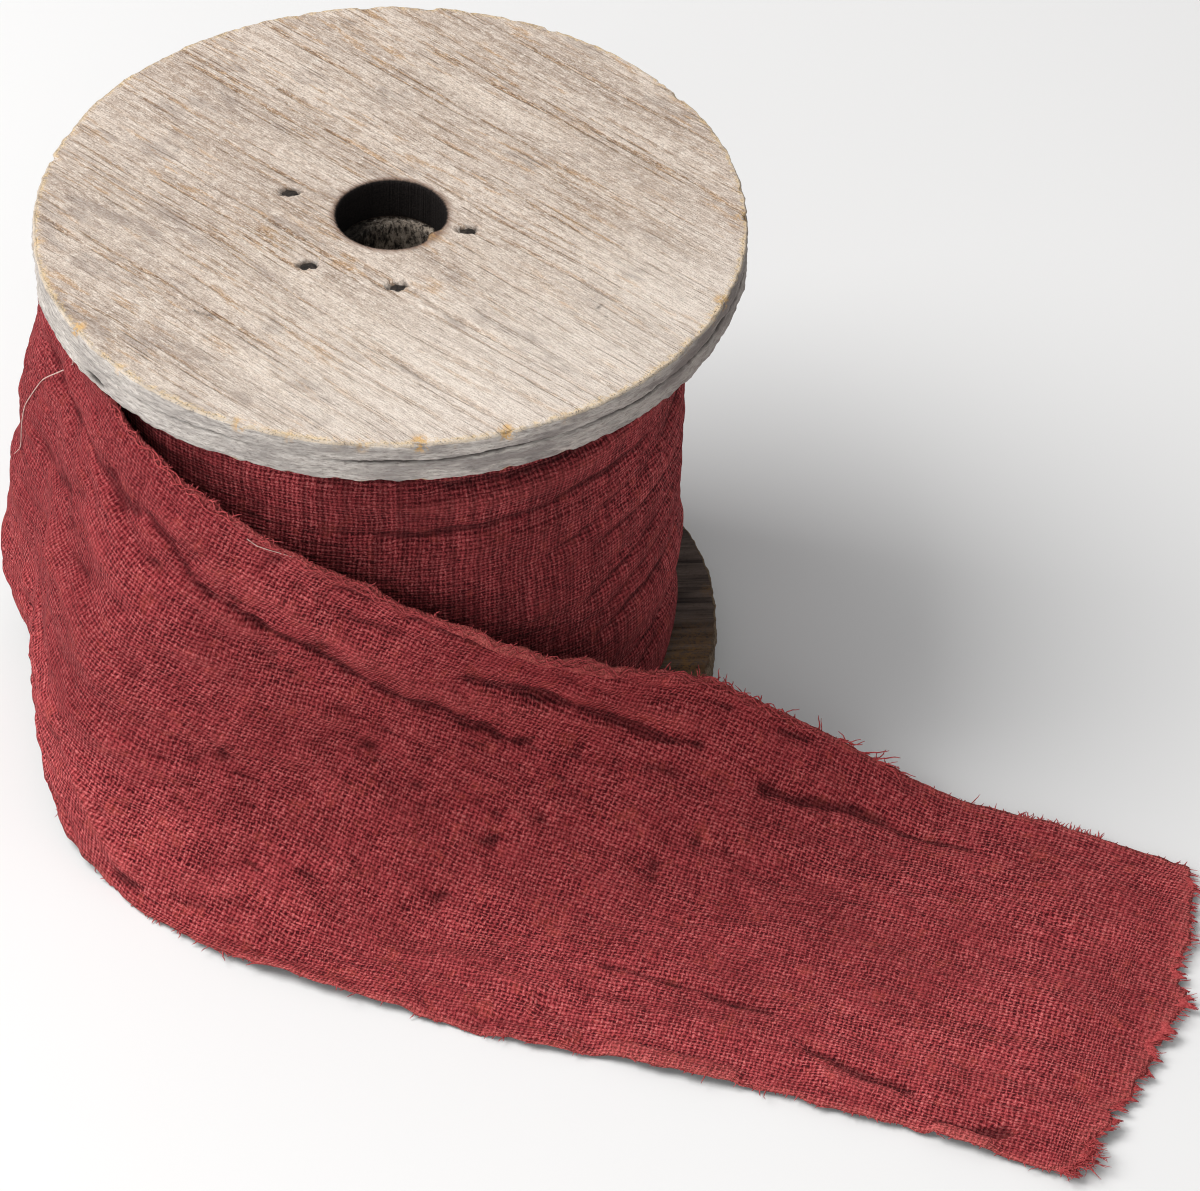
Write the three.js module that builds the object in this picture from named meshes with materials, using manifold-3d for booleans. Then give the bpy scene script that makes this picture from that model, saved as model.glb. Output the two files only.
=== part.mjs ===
// A roll of gauze ribbon on a weathered wooden spool. The free end of the ribbon leaves the roll at the back,
// sweeps round the left side and lies flat on the surface at the front right.
// Millimetres, +Z up. The spool's axis stands on x = y = 0 while the parts are made, and the surface is z = 0.
import * as THREE from "three";
import Module from "manifold-3d";
import { mergeVertices } from "three/addons/utils/BufferGeometryUtils.js";

// ---- driving dimensions, mm ----
const TOP_FLANGE_R = 57.5; // radius of the upper disc
const BOTTOM_FLANGE_R = 56.5; // radius of the lower disc
const FLANGE_T = 7.4; // both discs: two plies of wood
const SPOOL_H = 91.6; // underside of the lower disc to the top face at the axis
const LEAN_X = 0.015; // the upper disc sits a little out of level: mm of rise per mm of x
const LEAN_Y = 0.013; // and per mm of y
const HOLE_R = 8.85; // hole through each disc
const EDGE_EASE = 0.5; // worn edge of the discs
const CORE_R = 22; // outside of the hidden core
const CORE_BORE_R = 7.7; // its bore, a little smaller than the holes in the discs
const CORE_SHIFT_X = 1.2; // and a little off centre
const GAP = 0.3; // between pieces that meet
const NAIL_R = 1.3; // sunk nail heads round the hole
const NAIL_T = 0.5;
const NAIL_DEPTH = 1.1; // how deep the heads' pits are
const RIBBON_W = 74.8; // width of the ribbon
const CLOTH_T = 1.0; // thickness of the loose end's solid
const ROLL_R_TOP = 47.2; // the roll's least radius, at its upper end
const ROLL_R_FLARE = 0.9; // the roll is this much fatter at its lower end
const ROLL_TURN = 1.6; // the outermost turn's growth in radius in one round
const ROLL_START_DEG = 95.5; // where the outermost turn ends and the loose end goes on
const ROLL_Z0 = 8.3; // lower end of the roll
const TAIL_LENGTH = 315.3; // along the middle of the loose end

// Nail heads in the upper disc: name, x, y
const NAILS = [
  ["nail_left", -16.4, 6.1],
  ["nail_front_left", -13.1, -12.9],
  ["nail_front", 1.2, -18.3],
  ["nail_right", 12.3, -3.9],
];

// Sections across the loose end, evenly spaced along it from the roll to the free end.
// Columns: upper edge, upper third, lower third, lower edge, each as x, y, z.
const TAIL_SECTIONS = [
  [[-6.7, 47.9, 82.6], [-6.7, 48.1, 57.8], [-6.8, 48.4, 33.1], [-6.8, 48.7, 8.6]],
  [[-23.3, 44.6, 82.6], [-24.1, 44.7, 58.2], [-24.8, 44.6, 33.8], [-25.4, 44.3, 9.3]],
  [[-39.7, 34.9, 82.5], [-38.5, 33.1, 58.3], [-38.2, 31.8, 34.1], [-38.7, 31.5, 9.7]],
  [[-51.3, 19.2, 81.7], [-52.8, 19.9, 58.7], [-54.4, 21.0, 34.7], [-55.8, 22.4, 10.0]],
  [[-55.4, 0.2, 81.3], [-59.3, 2.2, 58.3], [-63.4, 4.4, 34.0], [-64.1, 6.6, 9.3]],
  [[-50.9, -18.6, 80.3], [-53.6, -16.0, 56.3], [-57.8, -14.2, 32.0], [-58.7, -11.8, 7.5]],
  [[-41.8, -35.6, 77.9], [-49.3, -34.9, 54.3], [-55.8, -33.4, 30.1], [-56.8, -30.6, 5.7]],
  [[-28.7, -49.0, 72.3], [-40.0, -50.8, 50.2], [-49.8, -51.4, 27.2], [-53.4, -48.8, 2.7]],
  [[-11.7, -54.0, 63.9], [-22.9, -54.4, 42.2], [-33.4, -58.9, 21.3], [-42.1, -64.9, 0.3]],
  [[6.2, -53.7, 53.4], [-5.6, -51.3, 32.7], [-15.8, -60.4, 13.2], [-26.4, -77.4, 0.0]],
  [[23.5, -50.7, 43.0], [11.5, -50.6, 23.6], [1.6, -64.6, 6.4], [-7.8, -85.9, 0.0]],
  [[40.4, -43.8, 33.6], [29.2, -50.8, 14.6], [19.9, -69.5, 2.3], [11.1, -93.0, 0.0]],
  [[57.3, -37.4, 23.1], [47.4, -53.3, 7.6], [38.6, -75.2, 0.3], [30.5, -98.8, 0.0]],
  [[74.8, -36.0, 11.1], [66.0, -57.7, 2.4], [57.6, -80.9, 0.0], [49.6, -104.1, 0.0]],
  [[93.2, -40.3, 2.4], [84.9, -63.7, 0.1], [76.5, -87.0, 0.0], [68.4, -110.0, 0.0]],
  [[113.1, -47.1, 0.6], [103.7, -70.4, 0.0], [95.2, -93.8, 0.0], [86.9, -117.0, 0.0]],
  [[132.4, -56.1, 0.0], [121.9, -77.7, 0.0], [113.7, -100.7, 0.0], [105.5, -124.5, 0.0]],
];

// How far the torn free end reaches past the last section, at even steps from the upper to the lower edge.
const END_REACH = [1.0, 3.6, 5.2, 6.4, 7.4, 9.2, 10.0, 8.8, 7.8, 5.8, 3.8, 3.0, 0.5];

// Main folds of the loose end. Each runs through three places given as (along, across), both 0 to 1.
// Columns: from, through, to, half-width in mm, height in mm (minus is a trough).
const TAIL_FOLDS = [
  [[0.38, 0.04], [0.48, 0.205], [0.68, 0.295], 2.6, -1.3],
  [[0.44, 0.1], [0.52, 0.185], [0.68, 0.245], 2.4, 0.9],
  [[0.57, 0.2], [0.66, 0.235], [0.77, 0.19], 2.6, -1.2],
  [[0.62, 0.18], [0.71, 0.15], [0.81, 0.11], 2.6, -1.3],
  [[0.6, 0.12], [0.7, 0.095], [0.8, 0.06], 2.8, 0.9],
  [[0.84, 0.13], [0.88, 0.145], [0.92, 0.155], 2.4, -0.7],
  [[0.74, 0.75], [0.79, 0.76], [0.86, 0.78], 2.6, -0.7],
  [[0.84, 0.885], [0.88, 0.9], [0.94, 0.925], 2.6, -0.7],
  [[0.48, 0.945], [0.54, 0.925], [0.6, 0.955], 2.6, 0.8],
  [[0.6, 0.56], [0.65, 0.66], [0.66, 0.73], 3.0, 0.7],
  [[0.27, 0.2], [0.34, 0.27], [0.44, 0.4], 3.2, 0.9],
  [[0.26, 0.32], [0.33, 0.4], [0.42, 0.52], 3.2, -0.8],
];

// Folds that run round the roll, as the ribbon's own lengthwise creases do.
// Columns: height, angle from, angle to (degrees), rise over that run, half-width, height of the fold (minus is a trough).
const ROLL_FOLDS = [
  [75.5, -130, 10, -1.5, 1.6, -0.5],
  [71.0, -105, 5, -0.5, 2.2, 0.45],
  [66.0, -110, 15, -2.5, 1.6, -0.45],
  [58.5, -60, 20, 4.0, 1.9, -0.5],
  [50.0, -55, 15, 5.0, 1.9, -0.55],
  [41.0, -60, 10, 6.0, 2.0, -0.5],
  [31.0, -50, 10, 6.5, 2.0, -0.6],
  [25.5, -45, 12, 5.0, 2.4, 0.6],
  [16.5, -40, 14, 4.0, 2.2, -0.5],
  [70.0, 20, 90, 3.0, 2.0, -0.5],
  [48.0, 25, 92, -4.0, 2.4, -0.5],
  [28.0, 20, 90, 4.0, 2.2, -0.5],
  [62.0, 110, 215, 3.0, 2.4, -0.4],
  [36.0, 110, 215, -3.0, 2.4, -0.4],
];

// ---- small helpers ----
const wasm = await Module();
wasm.setup();

const rad = (deg) => (deg * Math.PI) / 180;
const clamp = (v, lo, hi) => Math.min(hi, Math.max(lo, v));
const smooth = (v) => {
  const k = clamp(v, 0, 1);
  return k * k * (3 - 2 * k);
};
const uneven = (k) => {
  const v = Math.sin(k * 12.9898 + 4.137) * 43758.5453;
  return v - Math.floor(v);
};

function solidOf(geometry) {
  const bare = new THREE.BufferGeometry();
  const source = geometry.index ? geometry.toNonIndexed() : geometry;
  bare.setAttribute("position", source.getAttribute("position").clone());
  const merged = mergeVertices(bare, 1e-4);
  return new wasm.Manifold(
    new wasm.Mesh({
      numProp: 3,
      vertProperties: merged.attributes.position.array,
      triVerts: new Uint32Array(merged.index.array),
    }),
  );
}

function geometryOf(solid) {
  const mesh = solid.getMesh();
  const n = mesh.numProp;
  const position = new Float32Array(mesh.numVert * 3);
  for (let i = 0; i < mesh.numVert; i++)
    position.set(mesh.vertProperties.subarray(i * n, i * n + 3), i * 3);
  return new THREE.BufferGeometry()
    .setAttribute("position", new THREE.BufferAttribute(position, 3))
    .setIndex(new THREE.BufferAttribute(new Uint32Array(mesh.triVerts), 1));
}

function reshape(geometry, move) {
  const p = geometry.getAttribute("position");
  for (let i = 0; i < p.count; i++) {
    const [x, y, z] = move(p.getX(i), p.getY(i), p.getZ(i));
    p.setXYZ(i, x, y, z);
  }
  return geometry;
}

// The upper disc leans a little, and what stands between the discs follows it, more the higher it is.
const leanAt = (x, y, z) =>
  (LEAN_X * x + LEAN_Y * y) *
  clamp((z - FLANGE_T) / (SPOOL_H - 2 * FLANGE_T), 0, 1);

// ---- the wooden spool ----
// A ring turned from a closed profile; LatheGeometry turns about Y, so it is laid over to stand on Z.
function ring(outer, inner, z0, z1, ease, segments) {
  const profile = [
    [inner, z0],
    [outer - ease, z0],
    [outer, z0 + ease],
    [outer, z1 - ease],
    [outer - ease, z1],
    [inner, z1],
    [inner, z0],
  ].map(([r, z]) => new THREE.Vector2(r, z));
  return new THREE.LatheGeometry(profile, segments).rotateX(Math.PI / 2);
}

function disc(outer, z0, z1) {
  return ring(outer, HOLE_R, z0, z1, EDGE_EASE, 96);
}

function topFlange() {
  const z1 = SPOOL_H;
  let solid = solidOf(disc(TOP_FLANGE_R, z1 - FLANGE_T, z1));
  for (const [, x, y] of NAILS) {
    const pit = new THREE.CylinderGeometry(NAIL_R + GAP, NAIL_R + GAP, NAIL_DEPTH + 2, 18)
      .rotateX(Math.PI / 2)
      .translate(x, y, z1 - NAIL_DEPTH + (NAIL_DEPTH + 2) / 2);
    solid = solid.subtract(solidOf(pit));
  }
  return reshape(geometryOf(solid), (x, y, z) => [x, y, z + leanAt(x, y, z)]);
}

function nailHead(x, y) {
  const z = SPOOL_H - NAIL_DEPTH + GAP + NAIL_T / 2;
  return new THREE.CylinderGeometry(NAIL_R, NAIL_R, NAIL_T, 16)
    .rotateX(Math.PI / 2)
    .translate(x, y, z + leanAt(x, y, SPOOL_H));
}

function core() {
  const z0 = FLANGE_T + GAP;
  const z1 = SPOOL_H - FLANGE_T - GAP;
  const outside = new THREE.CylinderGeometry(CORE_R, CORE_R, z1 - z0, 72)
    .rotateX(Math.PI / 2)
    .translate(0, 0, (z0 + z1) / 2);
  const bore = new THREE.CylinderGeometry(CORE_BORE_R, CORE_BORE_R, z1 - z0 + 4, 48)
    .rotateX(Math.PI / 2)
    .translate(CORE_SHIFT_X, 0, (z0 + z1) / 2);
  const solid = solidOf(outside).subtract(solidOf(bore));
  return reshape(geometryOf(solid), (x, y, z) => [x, y, z + leanAt(x, y, z)]);
}

// ---- the roll ----
function rollRadius(deg, z) {
  // The outermost turn grows by one round of cloth and steps back where the loose end goes on.
  const round = ((((deg - ROLL_START_DEG) % 360) + 360) % 360) / 360;
  const up = (z - ROLL_Z0) / RIBBON_W;
  let r = ROLL_R_TOP + ROLL_R_FLARE * (1 - up) + ROLL_TURN * round;
  for (const [height, from, to, rise, half, bump] of ROLL_FOLDS) {
    const turn = ((((deg - from) % 360) + 360) % 360) / (to - from);
    if (turn > 1) continue;
    const off = (z - height - rise * turn - 0.8 * Math.sin(turn * 9 + height)) / half;
    r += bump * Math.exp(-off * off) * smooth(turn * 4) * smooth((1 - turn) * 4);
  }
  return r;
}

function roll() {
  const angles = [];
  const steps = 84;
  // Columns crowd where the turn ends, so that the step there is short.
  for (let i = 0; i < steps; i++) angles.push(ROLL_START_DEG + 0.9 + (358.2 * i) / (steps - 1));
  const rows = 14;
  const position = [];
  const index = [];
  const width = angles.length;
  const inner = CORE_R + GAP;
  for (let k = 0; k <= rows; k++) {
    const z = ROLL_Z0 + (RIBBON_W * k) / rows;
    for (const deg of angles) {
      const edge = Math.min(k, rows - k) === 0 ? 0.35 : 0; // the ends of the roll are a little rounded
      const r = rollRadius(deg, z) - edge;
      const x = r * Math.cos(rad(deg));
      const y = r * Math.sin(rad(deg));
      position.push(x, y, z + leanAt(x, y, z));
    }
  }
  const innerAt = [];
  for (const z of [ROLL_Z0, ROLL_Z0 + RIBBON_W]) {
    innerAt.push(position.length / 3);
    for (const deg of angles) {
      const x = inner * Math.cos(rad(deg));
      const y = inner * Math.sin(rad(deg));
      position.push(x, y, z + leanAt(x, y, z));
    }
  }
  const quad = (a, b, c, d) => index.push(a, b, c, a, c, d);
  for (let j = 0; j < width; j++) {
    const n = (j + 1) % width;
    for (let k = 0; k < rows; k++)
      quad(k * width + j, k * width + n, (k + 1) * width + n, (k + 1) * width + j);
    const [low, high] = innerAt;
    quad(rows * width + j, rows * width + n, high + n, high + j);
    quad(high + j, high + n, low + n, low + j);
    quad(low + j, low + n, n, j);
  }
  return new THREE.BufferGeometry()
    .setAttribute("position", new THREE.Float32BufferAttribute(position, 3))
    .setIndex(index);
}

// ---- the loose end ----
const catmull = (a, b, c, d, k) =>
  0.5 * (2 * b + (c - a) * k + (2 * a - 5 * b + 4 * c - d) * k * k + (3 * b - a - 3 * c + d) * k * k * k);

// The middle of the sheet at (along, across). Past the last section it goes straight on.
function sheetPoint(along, across) {
  const last = TAIL_SECTIONS.length - 1;
  const held = clamp(along, 0, 1);
  const at = Math.min(Math.floor(held * last), last - 1);
  const k = held * last - at;
  const row = (i) => TAIL_SECTIONS[clamp(i, 0, last)];
  const four = [0, 1, 2, 3].map((c) =>
    [0, 1, 2].map((q) => catmull(row(at - 1)[c][q], row(at)[c][q], row(at + 1)[c][q], row(at + 2)[c][q], k)),
  );
  const t = across * 3;
  const weight = [
    ((t - 1) * (t - 2) * (t - 3)) / -6,
    (t * (t - 2) * (t - 3)) / 2,
    (t * (t - 1) * (t - 3)) / -2,
    (t * (t - 1) * (t - 2)) / 6,
  ];
  const point = new THREE.Vector3();
  four.forEach((p, i) => point.addScaledVector(new THREE.Vector3(...p), weight[i]));
  if (along > 1) {
    const back = sheetPoint(1 - 1e-3, across);
    const ahead = point.clone().sub(back).setZ(0).normalize();
    point.addScaledVector(ahead, (along - 1) * TAIL_LENGTH);
  }
  return point;
}

function sheetNormal(along, across) {
  const e = 1e-3;
  const a = Math.min(along, 1 - e);
  const u = sheetPoint(a + e, across).sub(sheetPoint(a - e, across));
  const v = sheetPoint(a, across + e).sub(sheetPoint(a, across - e));
  return v.cross(u).normalize();
}

// Each fold is a smooth line through its three places, sampled in the flat cloth's own millimetres.
const foldLines = TAIL_FOLDS.map(([from, through, to, half, height]) => {
  const line = [];
  for (let i = 0; i <= 24; i++) {
    const k = i / 24;
    const w = [2 * (k - 0.5) * (k - 1), -4 * k * (k - 1), 2 * k * (k - 0.5)];
    line.push([
      (from[0] * w[0] + through[0] * w[1] + to[0] * w[2]) * TAIL_LENGTH,
      (from[1] * w[0] + through[1] * w[1] + to[1] * w[2]) * RIBBON_W,
      smooth(k * 4) * smooth((1 - k) * 4),
    ]);
  }
  return { line, half, height };
});

function foldHeight(along, across) {
  const s = along * TAIL_LENGTH;
  const w = across * RIBBON_W;
  let total = 0.25 * Math.sin(s / 9 + 2 * Math.sin(w / 13)) * Math.sin(w / 7 + s / 31);
  for (const { line, half, height } of foldLines) {
    let near = Infinity;
    let fade = 0;
    for (const [ls, lw, ends] of line) {
      const d = Math.hypot(ls - s, lw - w);
      if (d < near) {
        near = d;
        fade = ends;
      }
    }
    if (near < 3 * half) total += height * fade * Math.exp(-((near / half) ** 2));
  }
  return total;
}

// The cloth's long edges waver a little.
const upperWaver = (along) => (0.5 * Math.sin(along * 47) + 0.35 * Math.sin(along * 131 + 1)) / RIBBON_W;
const lowerWaver = (along) => (0.5 * Math.sin(along * 53 + 2) + 0.4 * Math.sin(along * 117)) / RIBBON_W;

function endReach(across) {
  const steps = END_REACH.length - 1;
  const at = Math.min(Math.floor(clamp(across, 0, 1) * steps), steps - 1);
  const k = clamp(across, 0, 1) * steps - at;
  return END_REACH[at] * (1 - k) + END_REACH[at + 1] * k;
}

// Upper and lower faces of the sheet at one place. Where the cloth lies on the surface its underside is flat on it.
function sheetFaces(along, across) {
  const held = Math.min(along, 1);
  const middle = sheetPoint(along, across);
  const normal = sheetNormal(held, clamp(across, 0, 1));
  const onFloor = smooth((4 - middle.z) / 3) * smooth(normal.z * 2 - 0.6);
  let height = foldHeight(held, clamp(across, 0, 1)) * smooth(along * 12);
  height *= 1 - 0.5 * onFloor;
  // Kept off the roll and the disc where it leans on them.
  const top = middle.clone().addScaledVector(normal, CLOTH_T / 2 + Math.max(height, -0.4));
  const under = middle.clone().addScaledVector(normal, -CLOTH_T / 2 + Math.max(height, -0.4));
  const lift = Math.max(0, CLOTH_T / 2 - middle.z) * onFloor;
  top.z += lift;
  under.z += lift;
  under.z = under.z * (1 - onFloor) + onFloor * Math.max(0, under.z - 0.9 - 0.4 * height);
  if (under.z < 0.02) under.z = 0;
  if (top.z < under.z + 0.7 && onFloor > 0.5) top.z = under.z + 0.7;
  return [top, under];
}

function looseEnd() {
  const along = 66;
  const across = 20;
  const position = [];
  const index = [];
  const id = (side, i, j) => side * (along + 1) * (across + 1) + i * (across + 1) + j;
  const faces = [];
  for (let i = 0; i <= along; i++)
    for (let j = 0; j <= across; j++) {
      const u0 = i / along;
      const v0 = j / across;
      // The last part of the cloth stretches out to the torn edge.
      const u = u0 + (smooth((u0 - 0.9) / 0.1) * endReach(v0)) / TAIL_LENGTH;
      const v = v0 * (1 + lowerWaver(u0) + upperWaver(u0)) - upperWaver(u0);
      faces.push(sheetFaces(u, v));
    }
  for (const side of [0, 1]) for (const pair of faces) position.push(...pair[side].toArray());
  for (let i = 0; i < along; i++)
    for (let j = 0; j < across; j++) {
      const [a, b, c, d] = [id(0, i, j), id(0, i, j + 1), id(0, i + 1, j + 1), id(0, i + 1, j)];
      index.push(a, b, c, a, c, d);
      const [e, f, g, h] = [id(1, i, j), id(1, i, j + 1), id(1, i + 1, j + 1), id(1, i + 1, j)];
      index.push(e, g, f, e, h, g);
    }
  const wall = (a, b) => {
    // a and b are (i, j) along the rim, met in the order that faces out
    index.push(id(0, ...a), id(1, ...b), id(0, ...b), id(0, ...a), id(1, ...a), id(1, ...b));
  };
  for (let i = 0; i < along; i++) {
    wall([i + 1, 0], [i, 0]);
    wall([i, across], [i + 1, across]);
  }
  for (let j = 0; j < across; j++) {
    wall([0, j], [0, j + 1]);
    wall([along, j + 1], [along, j]);
  }
  const geometry = new THREE.BufferGeometry()
    .setAttribute("position", new THREE.Float32BufferAttribute(position, 3))
    .setIndex(index);
  let solid = solidOf(geometry);
  if (solid.volume() < 0) {
    for (let i = 0; i < index.length; i += 3) [index[i + 1], index[i + 2]] = [index[i + 2], index[i + 1]];
    geometry.setIndex(index);
    solid = solidOf(geometry);
  }
  // The fringe: a comb of tufts along the torn end, uneven in length and lean.
  const tufts = 34;
  for (let n = 0; n < tufts; n++) {
    const across0 = (n + 0.5) / tufts;
    const reach = endReach(across0) / TAIL_LENGTH;
    const root = sheetPoint(1 + reach, across0);
    const ahead = root.clone().sub(sheetPoint(0.98 + reach, across0)).setZ(0).normalize();
    const side = new THREE.Vector3(-ahead.y, ahead.x, 0);
    const length = 1.0 + 2.6 * uneven(n * 3 + 1);
    const half = 0.5 + 0.45 * uneven(n * 5 + 2);
    const lean = 1.6 * (uneven(n * 7 + 3) - 0.5) - 0.5 * (across0 - 0.5);
    const start = root.clone().addScaledVector(ahead, -2.2).setZ(0);
    const tip = root.clone().addScaledVector(ahead, length).addScaledVector(side, lean).setZ(0);
    const corner = (base, off, z) => base.clone().addScaledVector(side, off).setZ(z).toArray();
    const p = [
      corner(start, -half, 0.12), corner(start, half, 0.12), corner(start, half, 0.72), corner(start, -half, 0.72),
      corner(tip, -0.16, 0.0), corner(tip, 0.16, 0.0), corner(tip, 0.16, 0.42), corner(tip, -0.16, 0.42),
    ];
    const box = new THREE.BufferGeometry()
      .setAttribute("position", new THREE.Float32BufferAttribute(p.flat(), 3))
      .setIndex([0, 1, 2, 0, 2, 3, 4, 6, 5, 4, 7, 6, 0, 5, 1, 0, 4, 5, 1, 6, 2, 1, 5, 6, 2, 7, 3, 2, 6, 7, 3, 4, 0, 3, 7, 4]);
    let tuft = solidOf(box);
    if (tuft.volume() < 0) {
      const turned = box.getIndex().array;
      for (let i = 0; i < turned.length; i += 3) [turned[i + 1], turned[i + 2]] = [turned[i + 2], turned[i + 1]];
      tuft = solidOf(box);
    }
    solid = solid.add(tuft);
  }
  return geometryOf(solid);
}

// ---- the pieces, each with its own material ----
const group = new THREE.Group();
function piece(name, geometry, color, roughness, metalness = 0) {
  geometry.deleteAttribute("uv");
  geometry.deleteAttribute("normal");
  geometry.computeVertexNormals();
  const mesh = new THREE.Mesh(geometry, new THREE.MeshStandardMaterial({ color, roughness, metalness }));
  mesh.name = name;
  group.add(mesh);
}

piece("flange_bottom", disc(BOTTOM_FLANGE_R, 0, FLANGE_T), 0x5a4c44, 0.9);
piece("flange_top", topFlange(), 0xc4b5a6, 0.88);
piece("core", core(), 0x6b5c4e, 0.92);
piece("roll", roll(), 0x7a2f33, 0.95);
piece("loose_end", looseEnd(), 0x93393d, 0.95);
for (const [name, x, y] of NAILS) piece(name, nailHead(x, y), 0x35312f, 0.6, 0.6);

// The frame's origin is the middle of the whole part's footprint, on the surface.
group.updateMatrixWorld(true);
const whole = new THREE.Box3().setFromObject(group, true);
for (const mesh of group.children)
  mesh.geometry.translate(-(whole.min.x + whole.max.x) / 2, -(whole.min.y + whole.max.y) / 2, -whole.min.z);

export default group;
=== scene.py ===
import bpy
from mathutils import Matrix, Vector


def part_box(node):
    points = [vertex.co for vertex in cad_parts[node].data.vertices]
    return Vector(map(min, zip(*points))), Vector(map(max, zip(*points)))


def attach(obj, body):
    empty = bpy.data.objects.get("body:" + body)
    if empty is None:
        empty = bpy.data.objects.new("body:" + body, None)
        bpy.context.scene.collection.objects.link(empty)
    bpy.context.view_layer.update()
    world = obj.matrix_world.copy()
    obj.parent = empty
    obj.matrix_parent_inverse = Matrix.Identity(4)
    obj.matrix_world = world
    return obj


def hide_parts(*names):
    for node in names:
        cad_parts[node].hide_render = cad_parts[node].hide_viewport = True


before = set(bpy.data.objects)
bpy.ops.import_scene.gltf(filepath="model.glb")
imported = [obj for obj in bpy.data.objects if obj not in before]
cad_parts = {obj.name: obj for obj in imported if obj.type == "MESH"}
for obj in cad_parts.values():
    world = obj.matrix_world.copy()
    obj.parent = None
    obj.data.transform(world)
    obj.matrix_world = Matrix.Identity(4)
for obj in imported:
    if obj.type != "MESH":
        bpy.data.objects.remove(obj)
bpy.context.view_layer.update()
# A roll of red cotton gauze ribbon on a weathered wooden spool, its loose end swept round the left side and lying
# flat at the front right. Metres, in the frame of the CAD model.
import math

import bpy
import numpy as np
from mathutils import Matrix, Vector


MM = 0.001
low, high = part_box("flange_bottom")
AXIS = np.array([(low[0] + high[0]) / 2, (low[1] + high[1]) / 2, 0.0]) / MM  # the spool's axis in the frame, mm
rng = np.random.default_rng(41)

# ---- sizes in mm, about the spool's axis, as in the CAD model ----
TOP_R, BOTTOM_R, BOARD, HEIGHT = 57.5, 56.5, 7.4, 91.6
LEAN_X, LEAN_Y = 0.015, 0.013
HOLE_R, CORE_R, BORE_R, BORE_X = 8.85, 22.0, 7.7, 1.2
WIDTH, TAIL_LENGTH = 74.8, 315.3
PITCH_ALONG, PITCH_ACROSS = 0.78, 0.66  # between threads
ROLL_TOP, ROLL_FLARE, ROLL_TURN, ROLL_START, ROLL_Z0 = 47.2, 0.9, 1.6, 95.5, 8.3
NAILS = [(-16.4, 6.1), (-13.1, -12.9), (1.2, -18.3), (12.3, -3.9)]

# Sections across the loose end, evenly spaced along it: upper edge, upper third, lower third, lower edge.
SECTIONS = np.array([
    [[-6.7, 47.9, 82.6], [-6.7, 48.1, 57.8], [-6.8, 48.4, 33.1], [-6.8, 48.7, 8.6]],
    [[-23.3, 44.6, 82.6], [-24.1, 44.7, 58.2], [-24.8, 44.6, 33.8], [-25.4, 44.3, 9.3]],
    [[-39.7, 34.9, 82.5], [-38.5, 33.1, 58.3], [-38.2, 31.8, 34.1], [-38.7, 31.5, 9.7]],
    [[-51.3, 19.2, 81.7], [-52.8, 19.9, 58.7], [-54.4, 21.0, 34.7], [-55.8, 22.4, 10.0]],
    [[-55.4, 0.2, 81.3], [-59.3, 2.2, 58.3], [-63.4, 4.4, 34.0], [-64.1, 6.6, 9.3]],
    [[-50.9, -18.6, 80.3], [-53.6, -16.0, 56.3], [-57.8, -14.2, 32.0], [-58.7, -11.8, 7.5]],
    [[-41.8, -35.6, 77.9], [-49.3, -34.9, 54.3], [-55.8, -33.4, 30.1], [-56.8, -30.6, 5.7]],
    [[-28.7, -49.0, 72.3], [-40.0, -50.8, 50.2], [-49.8, -51.4, 27.2], [-53.4, -48.8, 2.7]],
    [[-11.7, -54.0, 63.9], [-22.9, -54.4, 42.2], [-33.4, -58.9, 21.3], [-42.1, -64.9, 0.3]],
    [[6.2, -53.7, 53.4], [-5.6, -51.3, 32.7], [-15.8, -60.4, 13.2], [-26.4, -77.4, 0.0]],
    [[23.5, -50.7, 43.0], [11.5, -50.6, 23.6], [1.6, -64.6, 6.4], [-7.8, -85.9, 0.0]],
    [[40.4, -43.8, 33.6], [29.2, -50.8, 14.6], [19.9, -69.5, 2.3], [11.1, -93.0, 0.0]],
    [[57.3, -37.4, 23.1], [47.4, -53.3, 7.6], [38.6, -75.2, 0.3], [30.5, -98.8, 0.0]],
    [[74.8, -36.0, 11.1], [66.0, -57.7, 2.4], [57.6, -80.9, 0.0], [49.6, -104.1, 0.0]],
    [[93.2, -40.3, 2.4], [84.9, -63.7, 0.1], [76.5, -87.0, 0.0], [68.4, -110.0, 0.0]],
    [[113.1, -47.1, 0.6], [103.7, -70.4, 0.0], [95.2, -93.8, 0.0], [86.9, -117.0, 0.0]],
    [[132.4, -56.1, 0.0], [121.9, -77.7, 0.0], [113.7, -100.7, 0.0], [105.5, -124.5, 0.0]],
])
END_REACH = [0.2, 1.3, 3.4, 3.5, 4.5, 5.0, 5.9, 6.6, 6.6, 6.5, 7.0, 7.6, 9.6, 10.2, 9.5, 8.6, 9.1, 7.4, 7.8, 7.6, 7.6,
             6.2, 6.5, 5.3, 3.6, 5.1, 4.2, 3.0, 3.6, 2.9, 0.3]
# Larger tufts of the torn end: across, and how far the tip reaches past the last section, mm.
TUFTS = [(0.045, 3.4), (0.117, 5.0), (0.20, 6.9), (0.317, 8.1), (0.384, 9.9), (0.41, 11.2), (0.432, 12.2), (0.517, 10.4),
         (0.535, 10.4), (0.565, 10.0), (0.617, 9.6), (0.65, 9.2), (0.717, 8.2), (0.75, 7.8), (0.783, 6.9), (0.833, 6.6),
         (0.867, 5.6), (0.897, 5.0), (0.93, 4.6), (0.956, 5.2), (0.985, 3.6), (0.997, 3.0)]

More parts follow.
